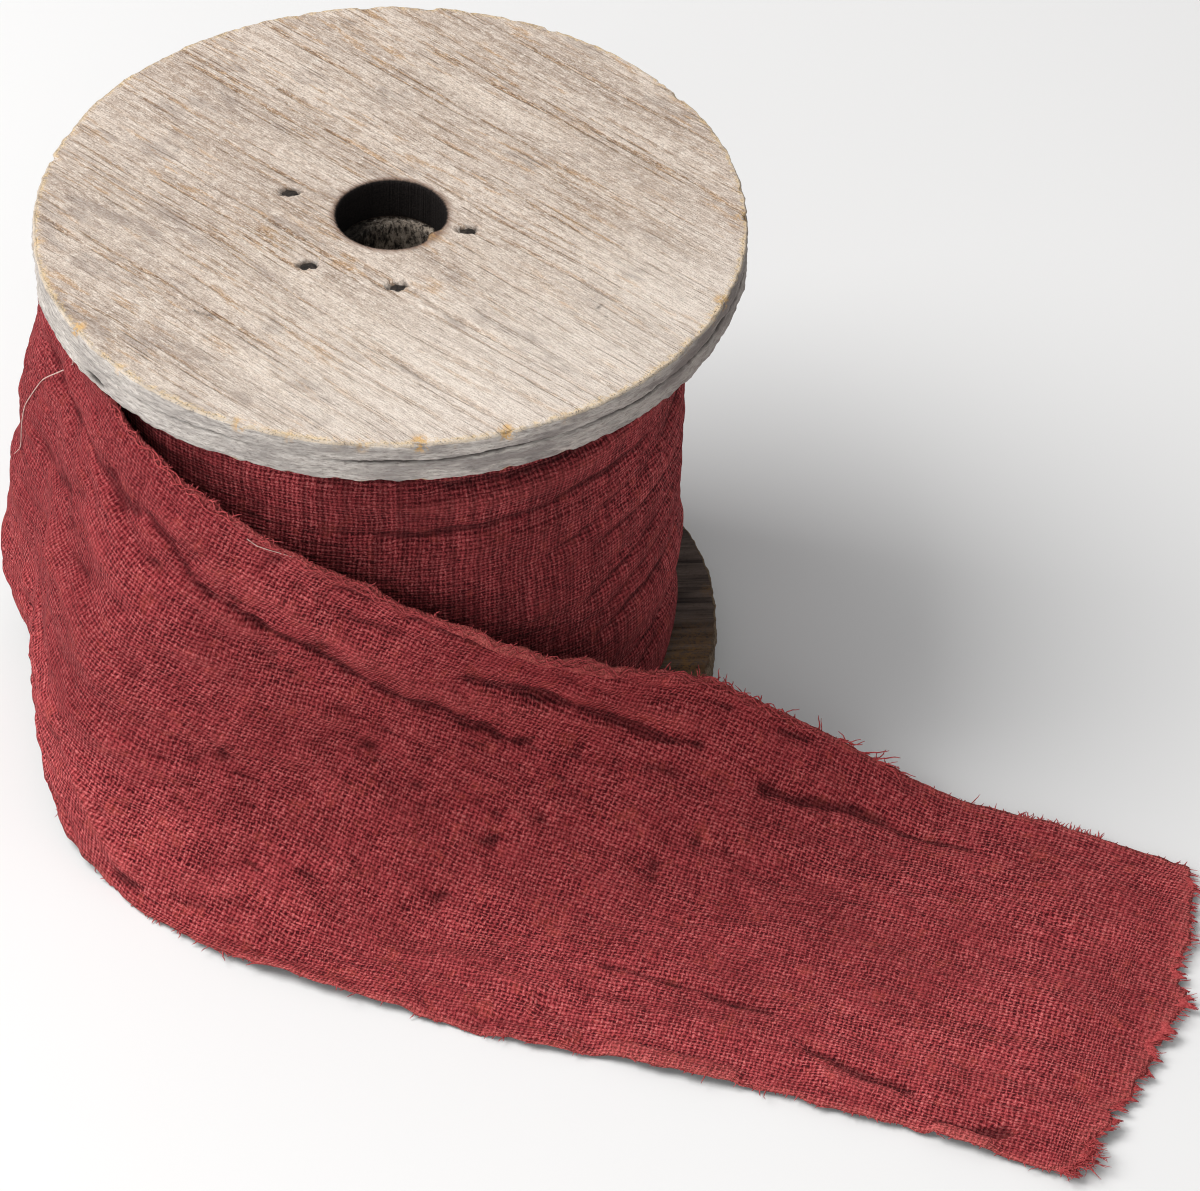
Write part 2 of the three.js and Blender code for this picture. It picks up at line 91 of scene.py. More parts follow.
# Folds of the loose end: name, half-width on its upper side and on its lower side, height (minus is a trough), and the
# (along, across) that it passes through.
FOLDS = [
    ("A begin", 1.5, 0.7, -1.0, [(0.400, 0.118), (0.420, 0.140), (0.436, 0.155), (0.455, 0.182), (0.469, 0.199), (0.489, 0.209),
        (0.510, 0.232)]),
    ("A", 2.4, 0.7, -1.4, [(0.480, 0.206), (0.506, 0.229), (0.528, 0.241), (0.554, 0.268), (0.580, 0.287), (0.604, 0.292),
        (0.628, 0.294), (0.651, 0.294), (0.670, 0.275)]),
    ("A shade", 4.6, 3.4, -0.9, [(0.490, 0.270), (0.520, 0.300), (0.560, 0.335), (0.600, 0.352), (0.650, 0.362), (0.700, 0.335)]),
    ("B shade", 3.6, 3.2, -0.7, [(0.640, 0.225), (0.680, 0.215), (0.730, 0.205), (0.780, 0.185)]),
    ("long rib 1", 2.6, 1.4, 0.55, [(0.300, 0.110), (0.350, 0.118), (0.400, 0.100), (0.450, 0.098), (0.520, 0.150)]),
    ("long rib 2", 1.8, 1.2, -0.6, [(0.290, 0.160), (0.340, 0.172), (0.390, 0.185), (0.440, 0.225), (0.480, 0.262)]),
    ("long rib 3", 2.4, 2.0, 0.5, [(0.280, 0.240), (0.330, 0.262), (0.380, 0.285), (0.440, 0.330), (0.500, 0.370)]),
    ("long rib 4", 2.6, 2.2, -0.5, [(0.285, 0.330), (0.330, 0.360), (0.390, 0.400), (0.450, 0.455), (0.520, 0.490)]),
    ("long rib 5", 3.4, 2.8, 0.5, [(0.300, 0.440), (0.350, 0.470), (0.420, 0.520), (0.500, 0.560)]),
    ("long rib 6", 3.0, 2.6, -0.5, [(0.300, 0.550), (0.360, 0.590), (0.430, 0.620), (0.500, 0.640)]),
    ("A tail", 2.4, 1.4, -0.6, [(0.653, 0.306), (0.685, 0.275), (0.710, 0.246), (0.732, 0.233), (0.752, 0.233)]),
    ("A parallel", 1.6, 0.7, -0.8, [(0.459, 0.160), (0.486, 0.177), (0.500, 0.177), (0.515, 0.187), (0.530, 0.209),
        (0.546, 0.229)]),
    ("A faint", 1.8, 1.0, -0.7, [(0.516, 0.102), (0.528, 0.104), (0.541, 0.112), (0.554, 0.119), (0.565, 0.114),
        (0.581, 0.117)]),
    ("B", 2.8, 0.9, -1.5, [(0.598, 0.173), (0.618, 0.170), (0.642, 0.168), (0.666, 0.168), (0.689, 0.160),
        (0.703, 0.158), (0.719, 0.168), (0.741, 0.151), (0.756, 0.142)]),
    ("B end", 2.4, 1.4, -0.5, [(0.755, 0.146), (0.774, 0.126), (0.795, 0.102), (0.811, 0.092)]),
    ("C", 2.4, 0.8, -1.4, [(0.774, 0.182), (0.789, 0.173), (0.807, 0.168), (0.825, 0.143),
        (0.840, 0.138), (0.860, 0.134), (0.877, 0.138), (0.892, 0.136), (0.909, 0.141)]),
    ("C spot", 1.6, 1.2, -0.15, [(0.782, 0.241), (0.789, 0.229), (0.798, 0.212)]),
    ("C end", 1.4, 0.9, -0.7, [(0.913, 0.136), (0.924, 0.131), (0.937, 0.124)]),
    ("edge dark", 1.8, 1.0, -0.7, [(0.640, 0.073), (0.662, 0.100), (0.680, 0.100), (0.702, 0.078), (0.735, 0.053),
        (0.764, 0.034)]),
    ("edge dark 2", 1.2, 0.8, -1.1, [(0.771, 0.039), (0.786, 0.039), (0.797, 0.031), (0.811, 0.014)]),
    ("cross 1", 1.3, 1.9, -0.75, [(0.661, 0.414), (0.665, 0.470), (0.667, 0.526), (0.668, 0.565)]),
    ("cross 2", 1.3, 1.9, -0.75, [(0.677, 0.375), (0.685, 0.423), (0.693, 0.484), (0.696, 0.545)]),
    ("cross 3", 1.3, 1.7, -0.75, [(0.763, 0.294), (0.765, 0.333), (0.763, 0.377)]),
    ("cross 4", 1.3, 1.7, -0.75, [(0.748, 0.401), (0.750, 0.450), (0.752, 0.504)]),
    ("cross 5", 1.3, 1.7, -0.75, [(0.775, 0.277), (0.780, 0.333), (0.783, 0.394)]),
    ("cross 6", 1.6, 1.9, -0.75, [(0.614, 0.370), (0.618, 0.440), (0.619, 0.499)]),
    ("spot 1", 1.6, 1.3, -0.18, [(0.708, 0.384), (0.715, 0.377), (0.723, 0.355)]),
    ("J", 1.9, 1.2, -0.6, [(0.659, 0.550), (0.656, 0.584), (0.651, 0.618)]),
    ("J hook", 1.8, 1.0, -0.7, [(0.656, 0.635), (0.657, 0.657), (0.648, 0.684), (0.639, 0.676)]),
    ("K1", 2.2, 1.3, -0.30, [(0.547, 0.720), (0.556, 0.728), (0.565, 0.725)]),
    ("K2", 2.2, 1.2, -0.36, [(0.570, 0.720), (0.578, 0.737), (0.589, 0.745), (0.601, 0.732)]),
    ("K3", 1.9, 1.2, -0.30, [(0.577, 0.669), (0.584, 0.676), (0.592, 0.674)]),
    ("K4", 2.2, 1.2, -0.42, [(0.607, 0.672), (0.621, 0.679), (0.630, 0.676), (0.636, 0.657)]),
    ("K5", 2.2, 1.2, -0.36, [(0.605, 0.713), (0.618, 0.723), (0.629, 0.723)]),
    ("K6", 1.6, 1.2, -0.30, [(0.600, 0.813), (0.608, 0.803), (0.616, 0.808)]),
    ("K7", 1.6, 1.2, -0.36, [(0.630, 0.720), (0.640, 0.740), (0.647, 0.754)]),
    ("K8", 1.6, 1.2, -0.24, [(0.641, 0.808), (0.649, 0.808), (0.655, 0.810)]),
    ("K9", 1.9, 1.3, -0.24, [(0.540, 0.801), (0.551, 0.808), (0.566, 0.808)]),
    ("K10", 1.6, 1.3, -0.24, [(0.498, 0.603), (0.507, 0.613), (0.515, 0.621)]),
    ("D", 1.8, 0.7, -1.2, [(0.737, 0.735), (0.751, 0.747), (0.759, 0.730), (0.774, 0.750), (0.792, 0.750),
        (0.811, 0.767), (0.830, 0.771), (0.846, 0.779)]),
    ("D2", 2.2, 1.0, -0.6, [(0.736, 0.825), (0.746, 0.825), (0.756, 0.820), (0.767, 0.830), (0.778, 0.837)]),
    ("D3", 2.7, 1.6, -0.24, [(0.682, 0.801), (0.696, 0.810), (0.709, 0.825), (0.724, 0.815)]),
    ("D4", 1.6, 1.0, -0.4, [(0.681, 0.737), (0.687, 0.747), (0.692, 0.745)]),
    ("D5", 1.4, 0.9, -0.24, [(0.690, 0.645), (0.696, 0.628), (0.702, 0.611)]),
    ("D6", 1.9, 1.3, -0.18, [(0.764, 0.691), (0.773, 0.701), (0.779, 0.679)]),
    ("E", 2.0, 0.9, -1.3, [(0.848, 0.835), (0.859, 0.859), (0.873, 0.869), (0.885, 0.888), (0.901, 0.893),
        (0.914, 0.898), (0.928, 0.915)]),
    ("F1", 1.0, 0.6, -1.2, [(0.949, 0.947), (0.957, 0.949), (0.963, 0.927), (0.969, 0.898)]),
    ("F2", 0.9, 0.6, -1.3, [(0.957, 0.961), (0.963, 0.952), (0.971, 0.925)]),
    ("left 1", 2.6, 1.6, -0.9, [(0.270, 0.150), (0.286, 0.185), (0.303, 0.212), (0.326, 0.205), (0.352, 0.180),
        (0.375, 0.170), (0.395, 0.170), (0.419, 0.153)]),
    ("left 2", 2.6, 1.6, -0.8, [(0.282, 0.404), (0.295, 0.426), (0.323, 0.399), (0.362, 0.294), (0.388, 0.238)]),
    ("left 3", 1.8, 1.4, -0.6, [(0.344, 0.056), (0.362, 0.075), (0.381, 0.090), (0.400, 0.090), (0.421, 0.085)]),
    ("left 4", 2.0, 1.6, -0.5, [(0.364, 0.477), (0.398, 0.375), (0.425, 0.338), (0.448, 0.336)]),
    ("low ridge", 2.0, 1.4, 1.1, [(0.385, 0.803), (0.418, 0.742), (0.437, 0.752), (0.452, 0.801), (0.472, 0.874),
        (0.491, 0.925), (0.517, 0.922)]),
    ("low trough", 1.2, 1.4, -0.7, [(0.420, 0.740), (0.438, 0.754), (0.454, 0.788), (0.464, 0.820), (0.477, 0.852),
        (0.491, 0.874)]),
    ("low dark", 1.6, 1.8, -0.8, [(0.482, 0.964), (0.497, 0.947), (0.512, 0.937)]),
    ("low dark 2", 1.8, 1.8, -0.7, [(0.515, 0.913), (0.537, 0.915), (0.556, 0.913), (0.575, 0.922)]),
    ("upper ridge A", 2.4, 1.6, 0.7, [(0.447, 0.141), (0.477, 0.146), (0.511, 0.151), (0.550, 0.194), (0.591, 0.236),
        (0.628, 0.246)]),
    ("upper ridge B", 2.4, 1.8, 0.7, [(0.611, 0.121), (0.649, 0.134), (0.684, 0.126), (0.719, 0.124), (0.754, 0.117)]),
    ("C ridge", 1.8, 1.2, 0.8, [(0.848, 0.131), (0.866, 0.119), (0.885, 0.114), (0.904, 0.117)]),
    ("E ridge", 1.4, 1.6, 0.8, [(0.860, 0.908), (0.882, 0.925), (0.903, 0.932), (0.925, 0.947)]),
    ("D ridge", 1.8, 1.2, 0.5, [(0.743, 0.728), (0.770, 0.740), (0.796, 0.740), (0.823, 0.757)]),
    ("soft 1", 3.0, 2.4, -0.5, [(0.807, 0.453), (0.838, 0.431), (0.870, 0.443), (0.902, 0.448)]),
    ("soft 2", 2.6, 2.0, -0.4, [(0.913, 0.065), (0.929, 0.061), (0.947, 0.041)]),
    ("soft 3", 2.0, 2.0, -0.4, [(0.957, 0.302), (0.961, 0.358), (0.965, 0.416)]),
]
# Folds round the roll: height, angle from, angle to, rise over that run, half-width, height of the fold.
ROLL_FOLDS = [
    (79.5, -120, 20, -1.0, 0.9, -0.5), (75.5, -130, 10, -1.5, 0.9, -0.65), (73.2, -100, 0, 0.5, 0.8, -0.4),
    (71.0, -105, 5, -0.5, 2.2, 0.45), (66.0, -110, 15, -2.5, 1.0, -0.6), (62.4, -85, 15, 0.5, 0.8, -0.4),
    (58.5, -60, 20, 4.0, 1.1, -0.65), (54.5, -70, 20, 4.5, 0.8, -0.45), (50.0, -55, 15, 5.0, 1.1, -0.65),
    (45.2, -60, 15, 5.5, 0.8, -0.45), (41.0, -60, 10, 6.0, 1.1, -0.6), (36.0, -50, 12, 6.5, 0.9, -0.5),
    (31.0, -50, 10, 6.5, 1.1, -0.75), (25.5, -45, 12, 5.0, 2.4, 0.6), (21.0, -42, 12, 4.5, 0.9, -0.5),
    (16.5, -40, 14, 4.0, 1.2, -0.6), (70.0, 20, 90, 3.0, 1.4, -0.6), (59.0, 10, 92, -2.0, 0.9, -0.5),
    (48.0, 25, 92, -4.0, 1.4, -0.6), (37.0, 14, 90, 3.0, 0.9, -0.5), (28.0, 20, 90, 4.0, 1.4, -0.6),
    (17.0, 15, 92, -2.0, 1.0, -0.5), (62.0, 110, 215, 3.0, 1.4, -0.5), (36.0, 110, 215, -3.0, 1.4, -0.5),
]


# ---- seeded noise ----
def lattice(ix, iy, seed):
    v = np.sin(ix * 127.1 + iy * 311.7 + seed * 74.7) * 43758.5453
    return v - np.floor(v)


def noise2(x, y, seed=0):
    """Smooth noise, -1 to 1, one lump to a unit."""
    ix, iy = np.floor(x), np.floor(y)
    fx, fy = x - ix, y - iy
    fx, fy = fx * fx * fx * (fx * (6 * fx - 15) + 10), fy * fy * fy * (fy * (6 * fy - 15) + 10)

    def lump(dx, dy):
        angle = 2 * np.pi * lattice(ix + dx, iy + dy, seed)
        return np.cos(angle) * (x - ix - dx) + np.sin(angle) * (y - iy - dy)

    a = lump(0, 0) * (1 - fx) + lump(1, 0) * fx
    b = lump(0, 1) * (1 - fx) + lump(1, 1) * fx
    return (a * (1 - fy) + b * fy) * 1.5


def smooth(v):
    k = np.clip(v, 0, 1)
    return k * k * (3 - 2 * k)


def lean(x, y, z):
    return (LEAN_X * x + LEAN_Y * y) * np.clip((z - BOARD) / (HEIGHT - 2 * BOARD), 0, 1)


# ---- meshes from arrays ----
def mesh_of(name, points, faces, uvs=None, attributes=(), material=None, smooth_shade=True):
    """points in mm about the spool's axis; faces an array of quads or triangles, or a list of both."""
    points = (np.asarray(points, float).reshape(-1, 3) + AXIS) * MM
    groups = faces if isinstance(faces, list) else [faces]
    groups = [np.asarray(g, np.int32) for g in groups if len(g)]
    mesh = bpy.data.meshes.new(name)
    mesh.vertices.add(len(points))
    mesh.vertices.foreach_set("co", points.astype(np.float32).ravel())
    loops = np.concatenate([g.ravel() for g in groups])
    sizes = np.concatenate([np.full(len(g), g.shape[1]) for g in groups])
    mesh.loops.add(len(loops))
    mesh.loops.foreach_set("vertex_index", loops)
    mesh.polygons.add(len(sizes))
    mesh.polygons.foreach_set("loop_start", np.concatenate([[0], np.cumsum(sizes)[:-1]]).astype(np.int32))
    mesh.polygons.foreach_set("use_smooth", np.full(len(sizes), smooth_shade))
    for layer, uv in (uvs or {}).items():
        uv = np.asarray(uv, float)
        made = mesh.uv_layers.new(name=layer)
        per_loop = uv[loops] if len(uv) != len(loops) else uv
        made.data.foreach_set("uv", per_loop.astype(np.float32).ravel())
    for label, values in dict(attributes).items():
        made = mesh.attributes.new(label, "FLOAT", "POINT")
        made.data.foreach_set("value", np.asarray(values, np.float32).ravel())
    mesh.validate()
    mesh.update()
    obj = bpy.data.objects.new(name, mesh)
    bpy.context.scene.collection.objects.link(obj)
    if material:
        mesh.materials.append(material)
    return obj


def grid_quads(n, m, closed=False, start=0, flip=False):
    """Quads of an n by m grid of points; closed joins the last row to the first."""
    rows = np.arange(n if closed else n - 1)
    i, j = np.meshgrid(rows, np.arange(m - 1), indexing="ij")
    k = (i + 1) % n
    quads = np.stack([i * m + j, k * m + j, k * m + j + 1, i * m + j + 1], -1).reshape(-1, 4) + start
    return quads[:, ::-1] if flip else quads


# ---- node helper ----
class Nodes:
    def __init__(self, name):
        self.material = bpy.data.materials.new(name)
        self.material.use_nodes = True
        self.tree = self.material.node_tree
        self.tree.nodes.clear()
        self.out = self.tree.nodes.new("ShaderNodeOutputMaterial")
        self.shader = self.tree.nodes.new("ShaderNodeBsdfPrincipled")
        self.tree.links.new(self.shader.outputs[0], self.out.inputs["Surface"])

    def put(self, socket, value):
        if isinstance(value, bpy.types.NodeSocket):
            self.tree.links.new(value, socket)
        elif value is not None:
            if hasattr(socket.default_value, "__len__") and not hasattr(value, "__len__"):
                value = (value,) * len(socket.default_value)
            if hasattr(socket.default_value, "__len__") and len(socket.default_value) == 4 and len(value) == 3:
                value = (*value, 1.0)
            socket.default_value = value

    def math(self, op, a, b=None, c=None, clamp=False):
        node = self.tree.nodes.new("ShaderNodeMath")
        node.operation = op
        node.use_clamp = clamp
        for socket, value in zip(node.inputs, (a, b, c)):
            self.put(socket, value)
        return node.outputs[0]

    def vmath(self, op, a, b=None):
        node = self.tree.nodes.new("ShaderNodeVectorMath")
        node.operation = op
        self.put(node.inputs[0], a)
        if b is not None:
            self.put(node.inputs["Scale"] if op == "SCALE" else node.inputs[1], b)
        return node.outputs[0]

    def xyz(self, x, y, z=0.0):
        node = self.tree.nodes.new("ShaderNodeCombineXYZ")
        for socket, value in zip(node.inputs, (x, y, z)):
            self.put(socket, value)
        return node.outputs[0]

    def split(self, v):
        node = self.tree.nodes.new("ShaderNodeSeparateXYZ")
        self.put(node.inputs[0], v)
        return node.outputs[0], node.outputs[1], node.outputs[2]

    def noise(self, v, scale=1.0, detail=2.0, rough=0.5, distort=0.0):
        node = self.tree.nodes.new("ShaderNodeTexNoise")
        self.put(node.inputs["Vector"], v)
        node.inputs["Scale"].default_value = scale
        node.inputs["Detail"].default_value = detail
        node.inputs["Roughness"].default_value = rough
        node.inputs["Distortion"].default_value = distort
        return node.outputs["Fac"]

    def white(self, v):
        node = self.tree.nodes.new("ShaderNodeTexWhiteNoise")
        node.noise_dimensions = "2D"
        self.put(node.inputs["Vector"], v)
        return node.outputs["Value"]

    def range(self, v, a, b, c=0.0, d=1.0, smoothly=True):
        node = self.tree.nodes.new("ShaderNodeMapRange")
        node.interpolation_type = "SMOOTHSTEP" if smoothly else "LINEAR"
        for socket, value in zip(node.inputs, (v, a, b, c, d)):
            self.put(socket, value)
        return node.outputs[0]

    def mix(self, fac, a, b, blend="MIX"):
        node = self.tree.nodes.new("ShaderNodeMix")
        node.data_type = "RGBA"
        node.blend_type = blend
        node.clamp_result = False
        self.put(node.inputs[0], fac)
        self.put(node.inputs[6], a)
        self.put(node.inputs[7], b)
        return node.outputs[2]

    def uv(self, layer):
        node = self.tree.nodes.new("ShaderNodeUVMap")
        node.uv_map = layer
        return node.outputs[0]

    def attribute(self, name):
        node = self.tree.nodes.new("ShaderNodeAttribute")
        node.attribute_name = name
        return node.outputs["Fac"]

    def place(self):
        """The point in mm about the spool's axis."""
        node = self.tree.nodes.new("ShaderNodeNewGeometry")
        return self.vmath("SUBTRACT", self.vmath("SCALE", node.outputs["Position"], 1000.0), tuple(AXIS))

    def bump(self, height, distance, strength=1.0, after=None):
        node = self.tree.nodes.new("ShaderNodeBump")
        node.inputs["Strength"].default_value = strength
        node.inputs["Distance"].default_value = distance
        self.put(node.inputs["Height"], height)
        if after is not None:
            self.tree.links.new(after, node.inputs["Normal"])
        return node.outputs[0]

    def surface(self, **values):
        names = {"color": "Base Color", "rough": "Roughness", "normal": "Normal", "sheen": "Sheen Weight",
                 "sheen_rough": "Sheen Roughness", "sheen_tint": "Sheen Tint", "shine": "Specular IOR Level",
                 "metal": "Metallic"}
        for key, value in values.items():
            self.put(self.shader.inputs[names[key]], value)
        return self.material


def srgb(r, g, b):
    return tuple((v / 255 / 12.92) if v / 255 <= 0.04045 else ((v / 255 + 0.055) / 1.055) ** 2.4 for v in (r, g, b))


# ---- gauze: an open plain weave, drawn in thread units on the map called "threads" ----
def gauze(name, tone=1.0, ribs=0.0, painted_light=False):
    n = Nodes(name)
    raw_u, raw_v, _ = n.split(n.uv("threads"))
    flat = n.xyz(raw_u, raw_v)

    def drift(scale, amount, shift, detail=0.0):
        moved = n.vmath("ADD", flat, (shift, shift * 0.37, shift * 0.11))
        return n.math("MULTIPLY", n.math("SUBTRACT", n.noise(moved, scale, detail), 0.5), amount * 0.72)

    def own(across_cell, run, rate, amount, shift):
        """Each thread's own waver: a run of noise along it, different for every thread."""
        v = n.noise(n.xyz(n.math("MULTIPLY", run, rate), n.math("MULTIPLY", across_cell, 3.71), shift), 1.0, 0.0)
        return n.math("MULTIPLY", n.math("SUBTRACT", v, 0.5), amount * 0.72)

    # The threads wander together, and each one wavers on its own.
    u0 = n.math("ADD", raw_u, n.math("ADD", drift(0.05, 2.6, 11.0), drift(0.17, 1.0, 23.0)))
    v0 = n.math("ADD", raw_v, n.math("ADD", drift(0.045, 2.6, 37.0), drift(0.15, 1.0, 51.0)))
    iu, iv = n.math("FLOOR", u0), n.math("FLOOR", v0)
    u = n.math("ADD", u0, n.math("ADD", own(iu, v0, 0.15, 0.75, 7.0), own(iu, v0, 0.55, 0.45, 9.0)))
    v = n.math("ADD", v0, n.math("ADD", own(iv, u0, 0.15, 0.75, 2.0), own(iv, u0, 0.55, 0.45, 4.0)))
    sin_u = n.math("SINE", n.math("MULTIPLY", u, math.pi))
    sin_v = n.math("SINE", n.math("MULTIPLY", v, math.pi))
    abs_u, abs_v = n.math("ABSOLUTE", sin_u), n.math("ABSOLUTE", sin_v)
    # How wide each thread is here: slubs along it, looser and denser places, and every hole its own size.
    loose = n.noise(flat, 0.11, 1.0, 0.65)
    ju, jv = n.math("FLOOR", u), n.math("FLOOR", v)
    slub_v = n.noise(n.xyz(n.math("MULTIPLY", u, 0.2), n.math("MULTIPLY", jv, 5.3), 11.0), 1.0, 1.0)
    slub_u = n.noise(n.xyz(n.math("MULTIPLY", ju, 6.1), n.math("MULTIPLY", v, 0.2), 17.0), 1.0, 1.0)
    each = n.white(n.xyz(n.math("FLOOR", n.math("ADD", u, 0.5)), n.math("FLOOR", n.math("ADD", v, 0.5))))
    spread = n.math("ADD", n.range(loose, 0.34, 0.66, 0.04, 0.36), n.math("MULTIPLY", n.math("SUBTRACT", each, 0.5), 0.56))
    gap_v = n.math("MAXIMUM", n.math("ADD", n.math("MULTIPLY", n.math("SUBTRACT", 0.56, slub_v), 1.3), spread), 0.0)
    gap_u = n.math("MAXIMUM", n.math("ADD", n.math("MULTIPLY", n.math("SUBTRACT", 0.56, slub_u), 1.3), spread), 0.0)
    warp = n.math("POWER", n.range(abs_v, gap_v, 1.0, 0.0, 1.0, False), 0.8)
    weft = n.math("POWER", n.range(abs_u, gap_u, 1.0, 0.0, 1.0, False), 0.8)
    over_w = n.math("MULTIPLY", sin_u, n.math("SIGN", sin_v))
    over_f = n.math("MULTIPLY", sin_v, n.math("SIGN", sin_u))
    high_w = n.math("MULTIPLY", warp, n.math("ADD", 0.62, n.math("MULTIPLY", over_w, 0.32)))
    high_f = n.math("MULTIPLY", weft, n.math("SUBTRACT", 0.62, n.math("MULTIPLY", over_f, 0.32)))
    height = n.math("MAXIMUM", high_w, high_f)
    # Fibres: along each thread, loose over the threads, and knots that close some of the holes.
    place = n.place()
    lie_w = n.noise(n.xyz(n.math("MULTIPLY", u, 0.9), n.math("MULTIPLY", v, 4.2), 5.0), 1.0, 1.0, 0.7)
    lie_f = n.noise(n.xyz(n.math("MULTIPLY", u, 4.2), n.math("MULTIPLY", v, 0.9), 8.0), 1.0, 1.0, 0.7)
    lie = n.mix(n.math("GREATER_THAN", high_w, high_f), n.xyz(lie_f, lie_f, lie_f), n.xyz(lie_w, lie_w, lie_w))
    lie = n.split(lie)[0]
    fuzz = n.noise(place, 4.6, 1.0, 0.9)
    hairs = n.noise(n.xyz(raw_u, raw_v, 3.0), 1.3, 2.0, 0.75, 3.0)
    knot = n.white(n.xyz(ju, jv))
    veil = n.range(n.noise(place, 0.16, 2.0, 0.65), 0.42, 0.68, 0.0, 0.30)
    body = n.math("ADD", height, n.math("MULTIPLY", n.math("SUBTRACT", fuzz, 0.5), 1.25))
    body = n.math("ADD", body, n.math("MULTIPLY", n.math("SUBTRACT", lie, 0.5), 0.8))
    body = n.math("ADD", body, n.math("MULTIPLY", n.math("SUBTRACT", knot, 0.5), 0.30))
    body = n.math("ADD", n.math("MULTIPLY", body, n.math("SUBTRACT", 1.0, veil)), n.math("MULTIPLY", veil, 0.60))
    fold = n.attribute("fold")  # minus in the troughs, plus on the ridges
    # The colour follows the threads' height: painted shade, dark, in the holes, the cloth's own red on the threads, and
    # painted highlight, pale, on the crowns of the crossings.
    hole = srgb(60 * tone, 14 * tone, 21 * tone)
    deep = srgb(125 * tone, 38 * tone, 44 * tone)
    mid = srgb(196 * tone, 82 * tone, 86 * tone)
    pale = srgb(231 * tone, 134 * tone, 131 * tone)
    color = n.mix(n.range(body, 0.04, 0.36), hole, deep)
    color = n.mix(n.range(body, 0.30, 0.78), color, mid)
    color = n.mix(n.range(body, 0.72, 1.12, 0.0, 0.95), color, pale)
    thread_tone = n.math("MULTIPLY", n.math("ADD", n.white(n.xyz(ju, 3.0)), n.white(n.xyz(5.0, jv))), 0.5)
    color = n.mix(n.range(thread_tone, 0.3, 0.9, 0.0, 0.22), color, srgb(112 * tone, 34 * tone, 38 * tone))
    color = n.mix(n.range(hairs, 0.62, 0.72, 0.0, 0.42), color, srgb(216 * tone, 116 * tone, 110 * tone))
    wash = n.noise(place, 0.045, 1.0, 0.6)
    color = n.mix(n.range(wash, 0.36, 0.64, 0.0, 0.24), color, srgb(118 * tone, 38 * tone, 42 * tone))
    warm = n.noise(place, 0.25, 2.0, 0.7)
    color = n.mix(n.range(warm, 0.56, 0.72, 0.0, 0.26), color, srgb(204 * tone, 92 * tone, 78 * tone))
    if ribs:
        rib = n.noise(n.xyz(n.math("MULTIPLY", raw_u, 0.55), n.math("MULTIPLY", raw_v, 0.035), 6.0), 1.0, 2.0, 0.7)
        color = n.mix(n.range(rib, 0.40, 0.62, 0.0, ribs), color, srgb(66 * tone, 16 * tone, 21 * tone))
    # Painted shade in the troughs of the folds and painted highlight on their ridges.
    color = n.mix(n.range(fold, -0.25, -1.1, 0.0, 0.64), color, srgb(44 * tone, 10 * tone, 15 * tone))
    color = n.mix(n.range(fold, 0.15, 0.9, 0.0, 0.12), color, srgb(228 * tone, 110 * tone, 106 * tone))
    fray_and_sheen = n.attribute("fray_and_sheen")  # the fuzzy cut and rolled edges
    # Painted highlight: the fuzzy cut and rolled edges are made paler, for the light their loose fibres catch.
    color = n.mix(n.math("MULTIPLY", fray_and_sheen, n.range(fuzz, 0.36, 0.58, 0.15, 0.85)), color, srgb(222 * tone, 118 * tone, 110 * tone))
    pucker = n.noise(n.xyz(n.math("MULTIPLY", raw_u, 0.13), n.math("MULTIPLY", raw_v, 0.30), 2.0), 1.0, 2.0, 0.6)
    relief = n.math("ADD", n.math("MULTIPLY", pucker, 2.1), n.math("MULTIPLY", n.noise(place, 0.7, 2.0, 0.65), 0.75))
    relief = n.math("ADD", relief, n.math("MULTIPLY", height, 0.28))
    relief = n.math("ADD", relief, n.math("MULTIPLY", n.math("ADD", fuzz, n.math("MULTIPLY", lie, 0.6)), 0.13))
    if painted_light:
        # Painted light: the wound cloth's colour is made paler where it curves away to both sides, most at the left, to
        # brighten its shaded turns.
        x, _, _ = n.split(place)
        g = n.math("ADD", n.range(x, -4.0, -20.0, 0.97, 1.68), n.range(x, 24.0, 42.0, 0.0, 0.28))
        color = n.vmath("MULTIPLY", color, n.xyz(g, g, g))
    else:
        # Painted shade: the part that stands at the left is made a little darker.
        left_shade = n.math("MULTIPLY", n.range(raw_u, 205.0, 162.0, 0.0, 0.38), n.range(raw_v, 92.0, 72.0, 0.0, 1.0))
        color = n.mix(left_shade, color, srgb(96, 24, 31))
    normal = n.bump(relief, 0.001, 0.8)
    return n.surface(color=color, rough=0.95, normal=normal, sheen=0.06, sheen_rough=0.6,
                     sheen_tint=srgb(226, 150, 150), shine=0.08)


# ---- weathered wood ----
def grain_space(n, degrees, wander=1.0):
    """Along and across the grain, in mm, with the lines wandering a little."""
    x, y, z = n.split(n.place())
    c, s = math.cos(math.radians(degrees)), math.sin(math.radians(degrees))
    along = n.math("ADD", n.math("MULTIPLY", x, c), n.math("MULTIPLY", y, s))
    across = n.math("SUBTRACT", n.math("MULTIPLY", y, c), n.math("MULTIPLY", x, s))
    sway = n.noise(n.xyz(n.math("MULTIPLY", along, 0.010), n.math("MULTIPLY", across, 0.020), z), 1.0, 1.0)
    wave = n.noise(n.xyz(n.math("MULTIPLY", along, 0.05), n.math("MULTIPLY", across, 0.10), 3.0), 1.0, 1.0)
    across = n.math("ADD", across, n.math("MULTIPLY", n.math("SUBTRACT", sway, 0.5), 6.0 * wander))
    across = n.math("ADD", across, n.math("MULTIPLY", n.math("SUBTRACT", wave, 0.5), 1.2 * wander))
    return along, across, z


def streak(n, along, across, la, lc, seed, detail=3.0, rough=0.6):
    detail = min(detail, max(0.5, math.log2(max(lc, 0.13) / 0.12)))  # nothing finer than 0.12 mm
    return n.noise(n.xyz(n.math("MULTIPLY", along, 1 / la), n.math("MULTIPLY", across, 1 / lc), seed), 1.0, detail, rough)


